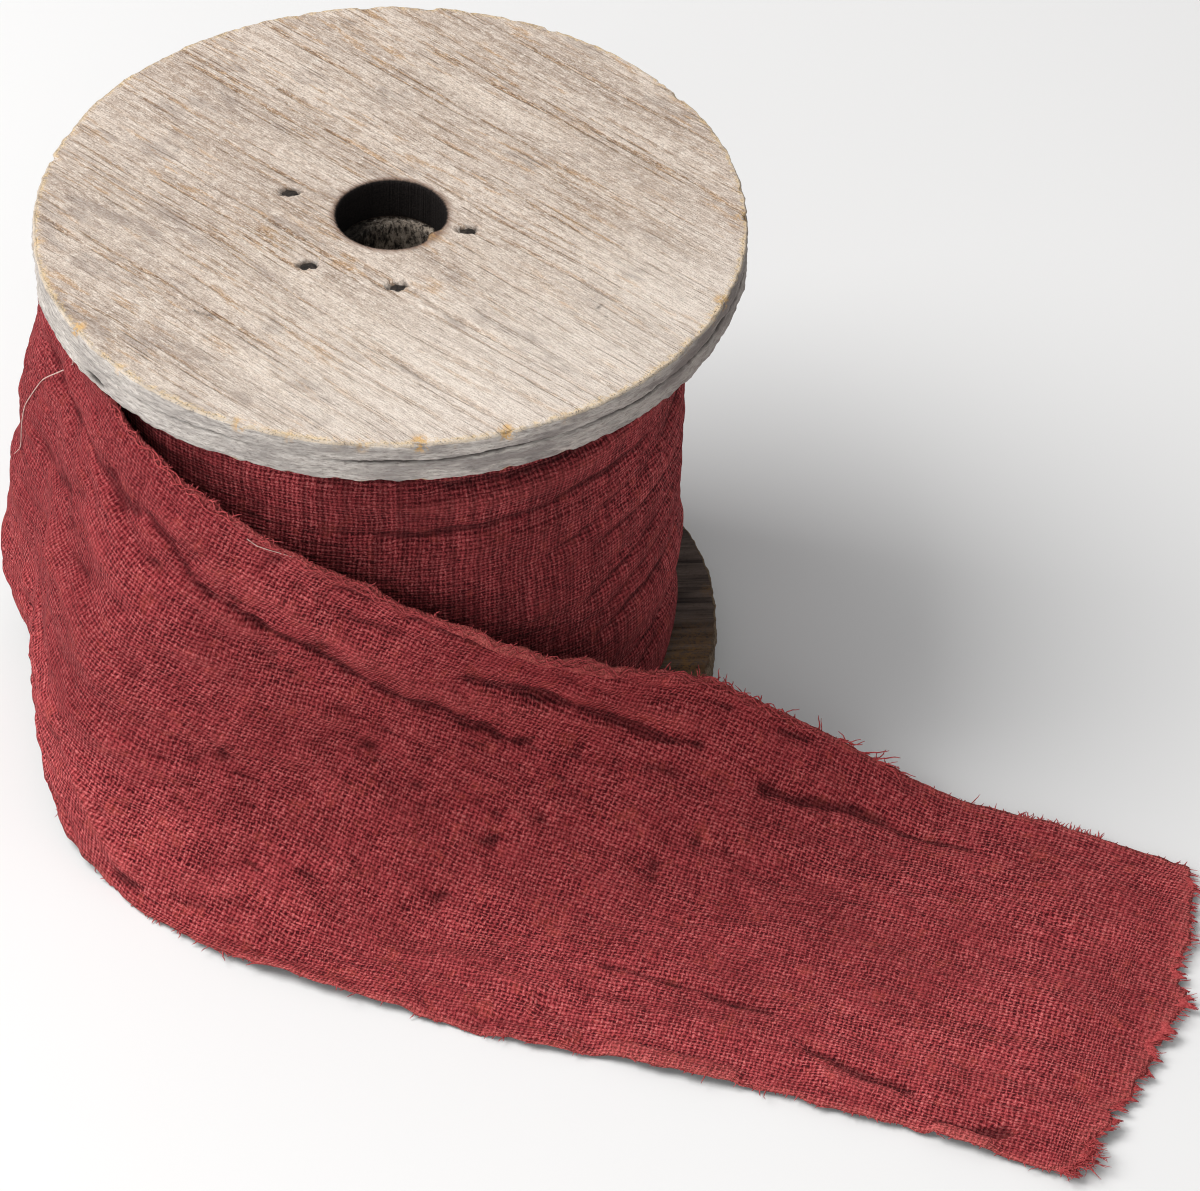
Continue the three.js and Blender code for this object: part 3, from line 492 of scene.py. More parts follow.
def pale_wood():
    n = Nodes("pale weathered board")
    along, across, z = grain_space(n, GRAIN, 0.7)
    side = n.attribute("side")
    x, y, _ = n.split(n.place())
    wide = streak(n, along, across, 60, 9, 1.0, 3.0, 0.6)
    color = n.mix(n.range(wide, 0.36, 0.64), srgb(189, 171, 157), srgb(222, 206, 192))
    # Bands where the summer wood is close, with calmer pale wood between them.
    zone = n.range(streak(n, along, across, 55, 6.0, 4.0, 2.0, 0.55), 0.40, 0.60, 0.15, 1.0)
    hair = streak(n, along, across, 30, 0.34, 15.0, 2.0, 0.6)  # fine straight fibre all over
    color = n.mix(n.range(hair, 0.54, 0.70, 0.0, 0.42), color, srgb(160, 140, 124))
    color = n.mix(n.range(hair, 0.48, 0.32, 0.0, 0.40), color, srgb(236, 224, 212))
    # Brown lines of late wood, each broken into dashes.
    late = streak(n, along, across, 62, 1.05, 9.0, 2.0, 0.5)
    run = n.range(streak(n, along, across, 13, 2.2, 33.0, 3.0, 0.65), 0.40, 0.58, 0.10, 1.0)
    dash = streak(n, along, across, 1.7, 0.42, 31.0, 2.0, 0.6)
    line = n.math("MULTIPLY", n.math("MULTIPLY", n.range(late, 0.515, 0.575), run), zone)
    color = n.mix(n.math("MULTIPLY", line, 0.80), color, srgb(190, 150, 106))
    dark = n.math("MULTIPLY", n.math("MULTIPLY", line, n.range(late, 0.54, 0.60)), n.range(dash, 0.44, 0.55))
    color = n.mix(n.math("MULTIPLY", dark, 0.90), color, srgb(112, 78, 50))
    second = streak(n, along, across, 48, 0.62, 59.0, 2.0, 0.5)
    fine = n.math("MULTIPLY", n.range(second, 0.56, 0.64), n.range(streak(n, along, across, 8, 1.6, 27.0), 0.44, 0.60))
    color = n.mix(n.math("MULTIPLY", fine, 0.66), color, srgb(142, 112, 86))
    # Short tan streaks where the surface has worn through.
    tan = n.math("MULTIPLY", n.range(streak(n, along, across, 11, 1.5, 71.0, 3.0, 0.6), 0.55, 0.63), n.range(streak(n, along, across, 30, 9.0, 77.0, 1.0), 0.46, 0.56))
    color = n.mix(n.math("MULTIPLY", tan, 0.74), color, srgb(196, 158, 118))
    flecks = streak(n, along, across, 1.6, 0.42, 22.0, 3.0, 0.65)
    color = n.mix(n.range(flecks, 0.56, 0.68, 0.0, 0.75), color, srgb(242, 232, 221))
    pore = streak(n, along, across, 1.2, 0.30, 41.0, 2.0, 0.6)
    color = n.mix(n.range(pore, 0.60, 0.70, 0.0, 0.48), color, srgb(124, 106, 93))
    mottle = streak(n, along, across, 2.6, 1.0, 83.0, 3.0, 0.7)
    color = n.mix(n.range(mottle, 0.48, 0.66, 0.0, 0.55), color, srgb(168, 147, 131))
    color = n.mix(n.range(mottle, 0.50, 0.34, 0.0, 0.50), color, srgb(238, 225, 212))
    speck = n.noise(n.place(), 3.0, 1.4, 0.85)
    color = n.mix(n.range(speck, 0.50, 0.72, 0.0, 0.44), color, srgb(146, 128, 117))
    color = n.mix(n.range(speck, 0.50, 0.28, 0.0, 0.46), color, srgb(243, 233, 223))
    far = n.math("SQRT", n.math("ADD", n.math("MULTIPLY", x, x), n.math("MULTIPLY", y, y)))
    # More bleached towards the front and the right.
    color = n.mix(n.range(n.math("SUBTRACT", n.math("MULTIPLY", x, 0.45), y), 12.0, 50.0, 0.0, 0.34), color, srgb(244, 234, 224))
    # Grey dirt, stronger towards the left rim and in patches.
    dirt = n.noise(n.xyz(n.math("MULTIPLY", along, 0.06), n.math("MULTIPLY", across, 0.14), 41.0), 1.0, 3.0, 0.7)
    left = n.range(n.math("ADD", n.math("MULTIPLY", x, -1.0), n.math("MULTIPLY", y, -0.25)), 18.0, 58.0, 0.0, 0.09)
    color = n.mix(n.range(n.math("ADD", dirt, left), 0.55, 0.72, 0.0, 0.42), color, srgb(136, 122, 116))
    scorch = n.math("ADD", far, n.math("MULTIPLY", n.math("SUBTRACT", speck, 0.5), 1.6))
    color = n.mix(n.range(scorch, HOLE_R + 1.5, HOLE_R + 0.2, 0.0, 0.75), color, srgb(112, 80, 62))
    mark = n.attribute("mark")  # nail marks, scratches and the scorched edge of the hole
    color = n.mix(n.range(mark, 0.05, 0.9, 0.0, 0.93), color, srgb(38, 33, 30))
    chip = n.attribute("chip")  # fresh wood on the torn rim
    color = n.mix(n.math("MULTIPLY", chip, n.range(n.noise(n.place(), 0.9, 3.0, 0.7), 0.40, 0.56)), color, srgb(222, 178, 118))
    rag = n.math("ADD", far, n.math("MULTIPLY", n.math("SUBTRACT", n.noise(n.place(), 0.9, 4.0, 0.8), 0.5), 4.6))
    color = n.mix(n.range(rag, TOP_R - 1.2, TOP_R - 0.1, 0.0, 0.72), color, srgb(232, 204, 158))
    color = n.mix(n.math("MULTIPLY", n.range(rag, TOP_R - 0.9, TOP_R + 0.1), n.range(speck, 0.56, 0.64)), color, srgb(92, 78, 66))
    # The board's edge: grey, its fibres lying level.
    around = n.math("ARCTAN2", y, x)
    ply = n.noise(n.xyz(n.math("MULTIPLY", around, 7.0), n.math("MULTIPLY", z, 1.5), 51.0), 1.0, 4.0, 0.7)
    fibre = n.noise(n.xyz(n.math("MULTIPLY", around, 34.0), n.math("MULTIPLY", z, 3.0), 57.0), 1.0, 3.0, 0.75)
    edge = n.mix(n.range(ply, 0.34, 0.66), srgb(190, 182, 176), srgb(222, 214, 206))
    edge = n.mix(n.range(fibre, 0.50, 0.68, 0.0, 0.70), edge, srgb(136, 127, 121))
    edge = n.mix(n.range(fibre, 0.49, 0.34, 0.0, 0.6), edge, srgb(238, 233, 227))
    grey = n.range(n.noise(n.xyz(n.math("MULTIPLY", around, 4.0), n.math("MULTIPLY", z, 0.25), 61.0), 1.0, 4.0, 0.65), 0.44, 0.60)
    # Grey patches in the wood, made stronger towards the right, and a darkening towards the right: the increase to the
    # right is painted shade, on the side away from the lamp.
    edge = n.mix(n.math("MULTIPLY", grey, n.range(x, -50.0, 40.0, 0.25, 0.80)), edge, srgb(138, 130, 127))
    edge = n.mix(n.range(x, 10.0, 52.0, 0.0, 0.45), edge, srgb(122, 112, 107))
    edge = n.mix(n.range(n.attribute("ply"), 0.0, 1.0, 0.0, 0.9), edge, srgb(50, 44, 41))
    edge = n.mix(n.math("MULTIPLY", chip, n.range(n.noise(n.place(), 0.9, 3.0, 0.7), 0.42, 0.56)), edge, srgb(222, 178, 118))
    bore = n.mix(n.range(fibre, 0.35, 0.65), srgb(16, 14, 14), srgb(40, 34, 32))
    color = n.mix(n.range(side, 0.0, 1.0, 0.0, 1.0, False), color, edge)
    color = n.mix(n.attribute("bore"), color, bore)
    relief = n.math("ADD", n.math("MULTIPLY", line, -0.8), n.math("MULTIPLY", pore, -0.7))
    relief = n.math("ADD", relief, n.math("ADD", n.math("MULTIPLY", fine, -0.4), n.math("MULTIPLY", hair, -0.5)))
    relief = n.math("ADD", relief, n.math("MULTIPLY", flecks, 0.5))
    relief = n.math("ADD", relief, n.math("MULTIPLY", speck, 0.5))
    side_relief = n.math("ADD", n.math("MULTIPLY", fibre, 1.6), n.math("MULTIPLY", ply, 0.9))
    relief = n.math("ADD", n.math("MULTIPLY", relief, n.math("SUBTRACT", 1.0, side)), n.math("MULTIPLY", side_relief, side))
    return n.surface(color=color, rough=n.range(speck, 0.3, 0.7, 0.78, 0.96), normal=n.bump(relief, 0.00035, 0.85), shine=0.2)


def dark_wood():
    n = Nodes("dark weathered board")
    along, across, z = grain_space(n, 4)
    x, y, _ = n.split(n.place())
    side = n.attribute("side")
    tone = streak(n, along, across, 26, 2.6, 3.0, 3.0, 0.65)
    color = n.mix(n.range(tone, 0.3, 0.7), srgb(58, 48, 44), srgb(112, 98, 90))
    line = streak(n, along, across, 18, 0.8, 8.0, 3.0, 0.65)
    color = n.mix(n.range(line, 0.52, 0.68, 0.0, 0.75), color, srgb(36, 30, 28))
    color = n.mix(n.range(line, 0.46, 0.30, 0.0, 0.5), color, srgb(140, 126, 116))
    speck = n.noise(n.place(), 1.8, 4.0, 0.7)
    color = n.mix(n.range(speck, 0.55, 0.75, 0.0, 0.4), color, srgb(38, 32, 30))
    gold = n.noise(n.place(), 0.09, 3.0, 0.6)
    color = n.mix(n.math("MULTIPLY", n.range(gold, 0.52, 0.62, 0.0, 0.55), n.range(speck, 0.36, 0.58)), color, srgb(140, 104, 62))
    patch = n.math("SQRT", n.math("ADD", n.math("POWER", n.math("SUBTRACT", x, 53.0), 2.0), n.math("POWER", n.math("MULTIPLY", n.math("ADD", y, 12.0), 0.7), 2.0)))
    color = n.mix(n.math("MULTIPLY", n.range(patch, 9.0, 2.0, 0.0, 0.42), n.range(speck, 0.34, 0.60)), color, srgb(158, 118, 70))
    fibre = n.noise(n.xyz(n.math("MULTIPLY", n.math("ARCTAN2", y, x), 40.0), n.math("MULTIPLY", z, 3.0), 57.0), 1.0, 4.0, 0.7)
    edge = n.mix(n.range(fibre, 0.35, 0.65), srgb(84, 70, 58), srgb(146, 124, 100))
    edge = n.mix(n.range(n.attribute("ply"), 0.0, 1.0, 0.0, 0.9), edge, srgb(34, 29, 27))
    color = n.mix(side, color, edge)
    color = n.mix(n.attribute("bore"), color, srgb(24, 21, 20))
    relief = n.math("ADD", n.math("MULTIPLY", line, -1.0), n.math("MULTIPLY", speck, 0.6))
    relief = n.math("ADD", relief, n.math("MULTIPLY", n.math("MULTIPLY", fibre, side), 1.2))
    return n.surface(color=color, rough=n.range(speck, 0.3, 0.7, 0.8, 0.97), normal=n.bump(relief, 0.0005, 0.9), shine=0.2)


def core_material():
    n = Nodes("rough core bore")
    x, y, z = n.split(n.place())
    turn = n.math("ARCTAN2", y, x)
    far = n.math("SQRT", n.math("ADD", n.math("MULTIPLY", x, x), n.math("MULTIPLY", y, y)))
    streaks = n.noise(n.xyz(n.math("MULTIPLY", turn, 9.0), n.math("MULTIPLY", z, 0.45), n.math("MULTIPLY", far, 1.6)), 1.0, 4.0, 0.8)
    color = n.mix(n.range(streaks, 0.38, 0.62), srgb(40, 34, 30), srgb(176, 162, 147))
    flecks = n.noise(n.place(), 1.3, 4.0, 0.8)
    color = n.mix(n.range(flecks, 0.58, 0.70, 0.0, 0.8), color, srgb(236, 226, 212))
    color = n.mix(n.range(flecks, 0.46, 0.36, 0.0, 0.8), color, srgb(26, 23, 21))
    # Painted shadow: the bore is darkened on its left side.
    color = n.mix(n.range(n.math("ADD", x, n.math("MULTIPLY", flecks, 4.0)), 1.5, -3.5, 0.0, 0.85), color, srgb(24, 21, 20))
    return n.surface(color=color, rough=0.9, normal=n.bump(streaks, 0.0004, 0.8), shine=0.2)


def steel():
    n = Nodes("sunk nail head")
    spots = n.noise(n.place(), 2.4, 4.0, 0.7)
    color = n.mix(n.range(spots, 0.35, 0.7), srgb(30, 27, 26), srgb(86, 78, 72))
    return n.surface(color=color, rough=n.range(spots, 0.3, 0.7, 0.45, 0.8), normal=n.bump(spots, 0.0002, 0.7), metal=0.6)


GRAIN = -43  # degrees, the upper board's grain
GAUZE = gauze("crinkled gauze")
# The wound gauze is a darker copy of the same cloth, tone 0.86: painted shade of the winding.
ROLL_GAUZE = gauze("wound gauze", 0.86, 0.42, True)
PALE, DARK, CORE, STEEL = pale_wood(), dark_wood(), core_material(), steel()


# ---- the loose end ----
def sheet_points(along, across):
    """The middle of the sheet at each (along, across); past the last section it goes straight on."""
    along, across = np.broadcast_arrays(np.asarray(along, float), np.asarray(across, float))
    last = len(SECTIONS) - 1
    held = np.clip(along, 0, 1)
    at = np.minimum(np.floor(held * last), last - 1).astype(int)
    k = (held * last - at)[..., None, None]
    a, b, c, d = (SECTIONS[np.clip(at + o, 0, last)] for o in (-1, 0, 1, 2))
    four = 0.5 * (2 * b + (c - a) * k + (2 * a - 5 * b + 4 * c - d) * k ** 2 + (3 * b - a - 3 * c + d) * k ** 3)
    t = across * 3
    w = np.stack([(t - 1) * (t - 2) * (t - 3) / -6, t * (t - 2) * (t - 3) / 2, t * (t - 1) * (t - 3) / -2, t * (t - 1) * (t - 2) / 6], -1)
    p = (four * w[..., None]).sum(-2)
    over = np.maximum(along - 1, 0)
    if over.any():
        four0 = SECTIONS[last]
        slope = (SECTIONS[last] - SECTIONS[last - 1])
        ahead = (slope * w[..., None]).sum(-2)
        ahead[..., 2] = 0
        ahead /= np.linalg.norm(ahead, axis=-1, keepdims=True)
        p = p + ahead * (over * TAIL_LENGTH)[..., None]
    return p


def sheet_normals(along, across, e=1e-3):
    a = np.minimum(along, 1 - e)
    u = sheet_points(a + e, across) - sheet_points(np.maximum(a - e, 0), across)
    v = sheet_points(a, across + e) - sheet_points(a, across - e)
    n = np.cross(v, u)
    return n / np.linalg.norm(n, axis=-1, keepdims=True)


def fold_lines():
    lines = []
    for name, upper, lower, height, through in FOLDS:
        p = np.array(through) * [TAIL_LENGTH, WIDTH]
        run = np.concatenate([[0], np.cumsum(np.hypot(*np.diff(p, axis=0).T))])
        k = np.linspace(0, run[-1], max(12, int(run[-1] / 0.8)))
        line = np.stack([np.interp(k, run, p[:, c]) for c in (0, 1)], -1)
        for _ in range(10):
            line[1:-1] = (line[:-2] + 2 * line[1:-1] + line[2:]) / 4
        line[:, 1] += 0.45 * noise2(line[:, 0] / 5.0, 0 * k + height * 9 + upper, 3)  # no fold is quite straight
        away = np.gradient(line, axis=0)
        away /= np.linalg.norm(away, axis=1, keepdims=True)
        taper = min(5.0, run[-1] * 0.35)
        ends = smooth(k / taper) * smooth((run[-1] - k) / taper)
        lines.append((line, away, ends, upper, lower, height))
    return lines


LINES = fold_lines()


def fold_field(along, across):
    """Height of the named folds alone, in mm: each falls gently on one side and steeply on the other."""
    s, t = np.broadcast_arrays(np.asarray(along, float) * TAIL_LENGTH, np.asarray(across, float) * WIDTH)
    total = np.zeros(s.shape)
    for line, away, ends, upper, lower, height in LINES:
        reach = 2.4 * max(upper, lower)
        lo, hi = line.min(0) - reach, line.max(0) + reach
        near = (s > lo[0]) & (s < hi[0]) & (t > lo[1]) & (t < hi[1])
        if not near.any():
            continue
        ds, dt = s[near][:, None] - line[:, 0], t[near][:, None] - line[:, 1]
        k = (ds * ds + dt * dt).argmin(1)
        at = np.arange(len(k))
        ds, dt = ds[at, k], dt[at, k]
        below = away[k, 0] * dt - away[k, 1] * ds > 0
        half = np.where(below, lower, upper)
        uneven = 0.95 + 0.35 * noise2(s[near] / 6.5, t[near] / 4.0 + height, 8)
        total[near] += height * ends[k] * uneven * np.exp(-((ds * ds + dt * dt) / half ** 2))
    return total


def blurred(field, cells):
    """The field smoothed over so many cells each way."""
    k = np.arange(-int(3 * cells), int(3 * cells) + 1)
    w = np.exp(-0.5 * (k / cells) ** 2)
    w /= w.sum()
    padded = np.pad(field, len(k) // 2, mode="edge")
    padded = np.apply_along_axis(lambda v: np.convolve(v, w, "valid"), 0, padded)
    return np.apply_along_axis(lambda v: np.convolve(v, w, "valid"), 1, padded)


def hollows(field, cell):
    """How far each point lies below (minus) or above its surroundings, for the painted shade in the folds and the
    painted highlight on their ridges.
    """
    return np.clip(1.35 * (field - blurred(field, 1.7 / cell)) + 0.5 * (field - blurred(field, 4.5 / cell)), -1.3, 1.0)


def crinkle(s, t, seed=0, strength=1.0):
    """The cloth's own crinkle, in mm: soft lumps parted by tight valleys that run mostly lengthwise."""
    bend_t = 1.8 * noise2(s / 19.0, t / 13.0, seed + 1) + 0.7 * noise2(s / 6.0, t / 5.0, seed + 9)
    bend_s = 1.4 * noise2(s / 7.0, t / 7.0, seed + 10)
    tt, ss = t + bend_t, s + bend_s
    lumps = 0.34 * noise2(ss / 14.0, tt / 4.2, seed + 2) + 0.24 * noise2(ss / 6.5, tt / 3.0, seed + 3) + 0.14 * noise2(ss / 2.8, tt / 2.0, seed + 5)
    patch = smooth(noise2(s / 31.0, t / 19.0, seed + 6) * 1.1 + 0.55)
    other = smooth(noise2(s / 23.0, t / 15.0, seed + 7) * 1.3 + 0.35)
    long = np.exp(-(noise2(ss / 26.0, tt / 5.6, seed + 4) / 0.085) ** 2)
    short = np.exp(-(noise2(ss / 8.0, tt / 3.6, seed + 8) / 0.13) ** 2)
    cross = np.exp(-(noise2(ss / 4.2, tt / 7.5, seed + 11) / 0.12) ** 2)
    wide = 0.85 * noise2(s / 32.0, t / 10.0, seed + 12) + 0.34 * noise2(s / 15.0, t / 6.0, seed + 13)
    lumps = lumps + wide
    return strength * (lumps * (0.7 + 0.5 * patch) - 0.40 * long * patch - 0.24 * short * other - 0.16 * cross * (1 - 0.7 * patch) * other)


def end_reach(across):
    return np.interp(np.clip(across, 0, 1), np.linspace(0, 1, len(END_REACH)), END_REACH)


def edge_waver(s, seed):
    return 0.55 * noise2(s / 14.0, 0 * s + seed, 21) + 0.35 * noise2(s / 4.2, 0 * s + seed, 22) + 0.18 * noise2(s / 1.5, 0 * s + seed, 23)


def torn_end(across):
    """Uneven reach of the torn end, in mm, on top of the end's own curve."""
    t = across * WIDTH
    return 0.3 * noise2(t / 4.0, 0 * t + 4, 31) + 0.55 * noise2(t / 1.7, 0 * t + 9, 32) + 0.45 * noise2(t / 0.8, 0 * t + 2, 33)


THICK = 0.55


def tail_height(along, across):
    """Height of the outer face's folds, crinkle and rolled edge over the sheet's plain shape, in mm."""
    p = sheet_points(along, across)
    n = sheet_normals(np.clip(along, 0, 1), np.clip(across, 0, 1))
    on_floor = smooth((4 - p[..., 2]) / 3) * smooth(n[..., 2] * 2 - 0.6)
    s, t = along * TAIL_LENGTH, across * WIDTH
    start = smooth(along * 12)
    quiet = (1.50 - 0.85 * smooth((along - 0.70) / 0.16)) * (0.62 + 0.38 * smooth((along - 0.22) / 0.12))  # the cloth is smoother near its free end
    # The upper edge is rolled over and doubled for part of its way, and the lower edge is turned up in two places.
    roll = smooth((along - 0.48) / 0.05) * smooth((0.84 - along) / 0.06)
    rope = smooth((along - 0.575) / 0.015) * smooth((0.682 - along) / 0.015)
    lip = (0.45 * roll + 0.75 * rope) * np.exp(-((t - 1.3) / 1.0) ** 2) * (0.75 + 0.45 * noise2(s / 3.5, t / 3, 12))
    lip = lip - (0.4 * roll + 0.5 * rope) * np.exp(-((t - 3.2) / 0.75) ** 2) * (0.7 + 0.4 * noise2(s / 7.0, t / 3, 13))
    under = WIDTH - t
    turned = smooth((along - 0.758) / 0.012) * smooth((0.836 - along) / 0.006)
    corner = smooth((along - 0.930) / 0.006) * smooth((0.966 - along) / 0.008)
    inside = 3.0 + 0.5 * noise2(s / 4.0, 0 * s, 14)
    lip = lip + 0.95 * turned * smooth((inside - under) / 0.7 + 0.5)
    lip = lip + 1.1 * corner * smooth((inside * 0.8 - under) / 0.7 + 0.5) - 0.5 * corner * np.exp(-((under - inside * 0.8 - 0.9) / 0.6) ** 2)
    height = fold_field(along, across) * start * (1 - 0.25 * on_floor) + crinkle(s, t) * start * quiet + lip
    height = np.where(on_floor > 0.5, np.maximum(height, -1.0 - 0.2 * on_floor), height)
    r = np.hypot(p[..., 0], p[..., 1])
    near_roll = smooth((53.0 - r) / 2.5) * (p[..., 2] < 86) * smooth(along * 8)
    return np.maximum(height, -2.2 + 0.5 * near_roll) + 1.0 * near_roll  # lifted so that its folds clear the roll


def tail_faces(along, across, side):
    """Points of one face (+1 outer, -1 inner) of the cloth, and the folds' height there."""
    p = sheet_points(along, across)
    n = sheet_normals(np.clip(along, 0, 1), np.clip(across, 0, 1))
    on_floor = smooth((4 - p[..., 2]) / 3) * smooth(n[..., 2] * 2 - 0.6)
    s, t = along * TAIL_LENGTH, across * WIDTH
    height = tail_height(along, across)
    lift = 0.75 + 0.35 * on_floor * (1 + noise2(s / 22.0, t / 17.0, 18))  # it lies lightly on the surface
    q = p + n * (height + side * THICK / 2)[..., None]
    q[..., 2] += np.maximum(0, lift + 0.3 - p[..., 2]) * on_floor
    q[..., 2] = np.maximum(q[..., 2], THICK + 0.04 if side > 0 else 0.03)
    return q, height


def build_tail():
    na, nt = ((448, 108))
    i = np.linspace(0, 1, na)[:, None] * np.ones((1, nt))
    j = np.ones((na, 1)) * np.linspace(0, 1, nt)[None, :]
    stretch = smooth((i - 0.9) / 0.1) * (end_reach(j) + torn_end(j)) / TAIL_LENGTH
    begin = -0.012
    along = begin + (1 - begin) * i + stretch
    s = along * TAIL_LENGTH
    upper, lower = edge_waver(s, 1.7) / WIDTH, edge_waver(s, 8.3) / WIDTH
    across = upper + (1 + lower - upper) * j
    held = np.maximum(along, 0)
    outer, fold = tail_faces(held, across, 1)
    inner, _ = tail_faces(held, across, -1)
    # Its first few millimetres go on backwards under the roll's outermost turn.
    back = np.minimum(along, 0) * TAIL_LENGTH
    tangent = sheet_points(0.004, across) - sheet_points(0.0, across)
    tangent /= np.linalg.norm(tangent, axis=-1, keepdims=True)
    sink = np.stack([outer[..., 0], outer[..., 1], 0 * outer[..., 2]], -1)
    sink /= np.linalg.norm(sink, axis=-1, keepdims=True)
    for face in (outer, inner):
        face += tangent * back[..., None] + sink * (back * 0.16)[..., None]
    # The two faces, joined by a wall round the edge.
    n = na * nt
    points = np.concatenate([outer.reshape(-1, 3), inner.reshape(-1, 3)])
    front = grid_quads(na, nt, flip=True)
    rear = grid_quads(na, nt, start=n)
    idx = np.arange(n).reshape(na, nt)
    rim = np.concatenate([idx[:, 0], idx[-1, 1:], idx[-2::-1, -1], idx[0, -2:0:-1]])
    nxt = np.roll(rim, -1)
    wall = np.stack([rim, nxt, nxt + n, rim + n], -1)
    threads = np.stack([s / PITCH_ALONG, across * WIDTH / PITCH_ACROSS], -1).reshape(-1, 2)
    threads = np.concatenate([threads, threads + np.array([0.5, 0.5])])
    size = max(WIDTH * 2.1, TAIL_LENGTH * 1.04)
    u = (i * (TAIL_LENGTH + 10) + 1).reshape(-1) / (TAIL_LENGTH + 14)
    v = (j * WIDTH).reshape(-1) / (TAIL_LENGTH + 14)
    gap = (WIDTH + 3) / (TAIL_LENGTH + 14)
    bake = np.concatenate([np.stack([u, v + 0.004], -1), np.stack([u, v + gap + 0.004], -1)])
    # Painted shade in the hollows of the folds and crinkle, and painted highlight on their ridges; the inner face gets
    # the opposite, weaker.
    plain = crinkle(s, across * WIDTH) * smooth(held * 12)
    deep = hollows(fold - plain, TAIL_LENGTH / na) + 0.45 * hollows(plain, TAIL_LENGTH / na)
    # A painted shadow line under the rolled part of the upper edge.
    gap_t = across * WIDTH - 2.7 - 0.35 * noise2(s / 5.0, 0 * s + 3.0, 15)
    deep = deep - 1.1 * smooth((held - 0.570) / 0.015) * smooth((0.690 - held) / 0.015) * np.exp(-(gap_t / 0.42) ** 2)
    folds = np.concatenate([deep.ravel(), -0.7 * deep.ravel()])
    # Fuzzy edges catch the light: the two cut edges, the torn end, and the rolled part of the upper edge.
    upper_gap, lower_gap, end_gap = j * WIDTH, (1 - j) * WIDTH, (1 - i) * TAIL_LENGTH
    rolled = smooth((s / TAIL_LENGTH - 0.56) / 0.03) * smooth((0.69 - s / TAIL_LENGTH) / 0.02)
    turned = smooth((s / TAIL_LENGTH - 0.758) / 0.012) * smooth((0.836 - s / TAIL_LENGTH) / 0.006)
    turned = turned + smooth((s / TAIL_LENGTH - 0.930) / 0.006) * smooth((0.966 - s / TAIL_LENGTH) / 0.008)
    fray_and_sheen = (0.45 + 0.4 * rolled) * np.exp(-(upper_gap / (0.8 + 0.9 * rolled)) ** 2) + 0.45 * np.exp(-(lower_gap / 0.7) ** 2)
    fray_and_sheen = fray_and_sheen + 0.18 * turned * smooth((3.2 - lower_gap) / 0.8)
    fray_and_sheen = np.clip(fray_and_sheen + 0.6 * np.exp(-(end_gap / 2.2) ** 2) * (0.6 + 0.5 * noise2(s / 2, across * WIDTH / 1.5, 61)), 0, 1)
    fray_and_sheen = np.concatenate([fray_and_sheen.ravel(), fray_and_sheen.ravel()])
    obj = mesh_of("gauze_loose_end", points, [front, rear, wall], {"threads": threads, "OFBake": bake},
                  {"fold": folds, "fray_and_sheen": fray_and_sheen}, GAUZE)
    # Face direction: outward is away from the inner face.
    return obj, along, across


tail, tail_along, tail_across = build_tail()


def fix_normals(obj):
    import bmesh
    bm = bmesh.new()
    bm.from_mesh(obj.data)
    bmesh.ops.recalc_face_normals(bm, faces=bm.faces)
    bm.to_mesh(obj.data)
    bm.free()
    obj.data.update()


fix_normals(tail)
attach(tail, "root")
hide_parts("loose_end")


# ---- the roll ----
def roll_radius(deg, z, folds=True):
    turn = np.mod(deg - ROLL_START, 360) / 360
    up = (z - ROLL_Z0) / WIDTH
    r = ROLL_TOP + ROLL_FLARE * (1 - up) + ROLL_TURN * turn
    shape = np.zeros_like(r)
    if folds:
        for height, start, end, rise, half, bump in ROLL_FOLDS:
            k = np.mod(deg - start, 360) / (end - start)
            on = (k <= 1) * smooth(k * 4) * smooth((1 - k) * 4)
            wander = 0.8 * np.sin(k * 9 + height) + 0.6 * noise2(deg / 9.0, 0 * deg + height, 5)
            shape = shape + bump * on * np.exp(-((z - height - rise * k - wander) / half) ** 2)
    return r, shape


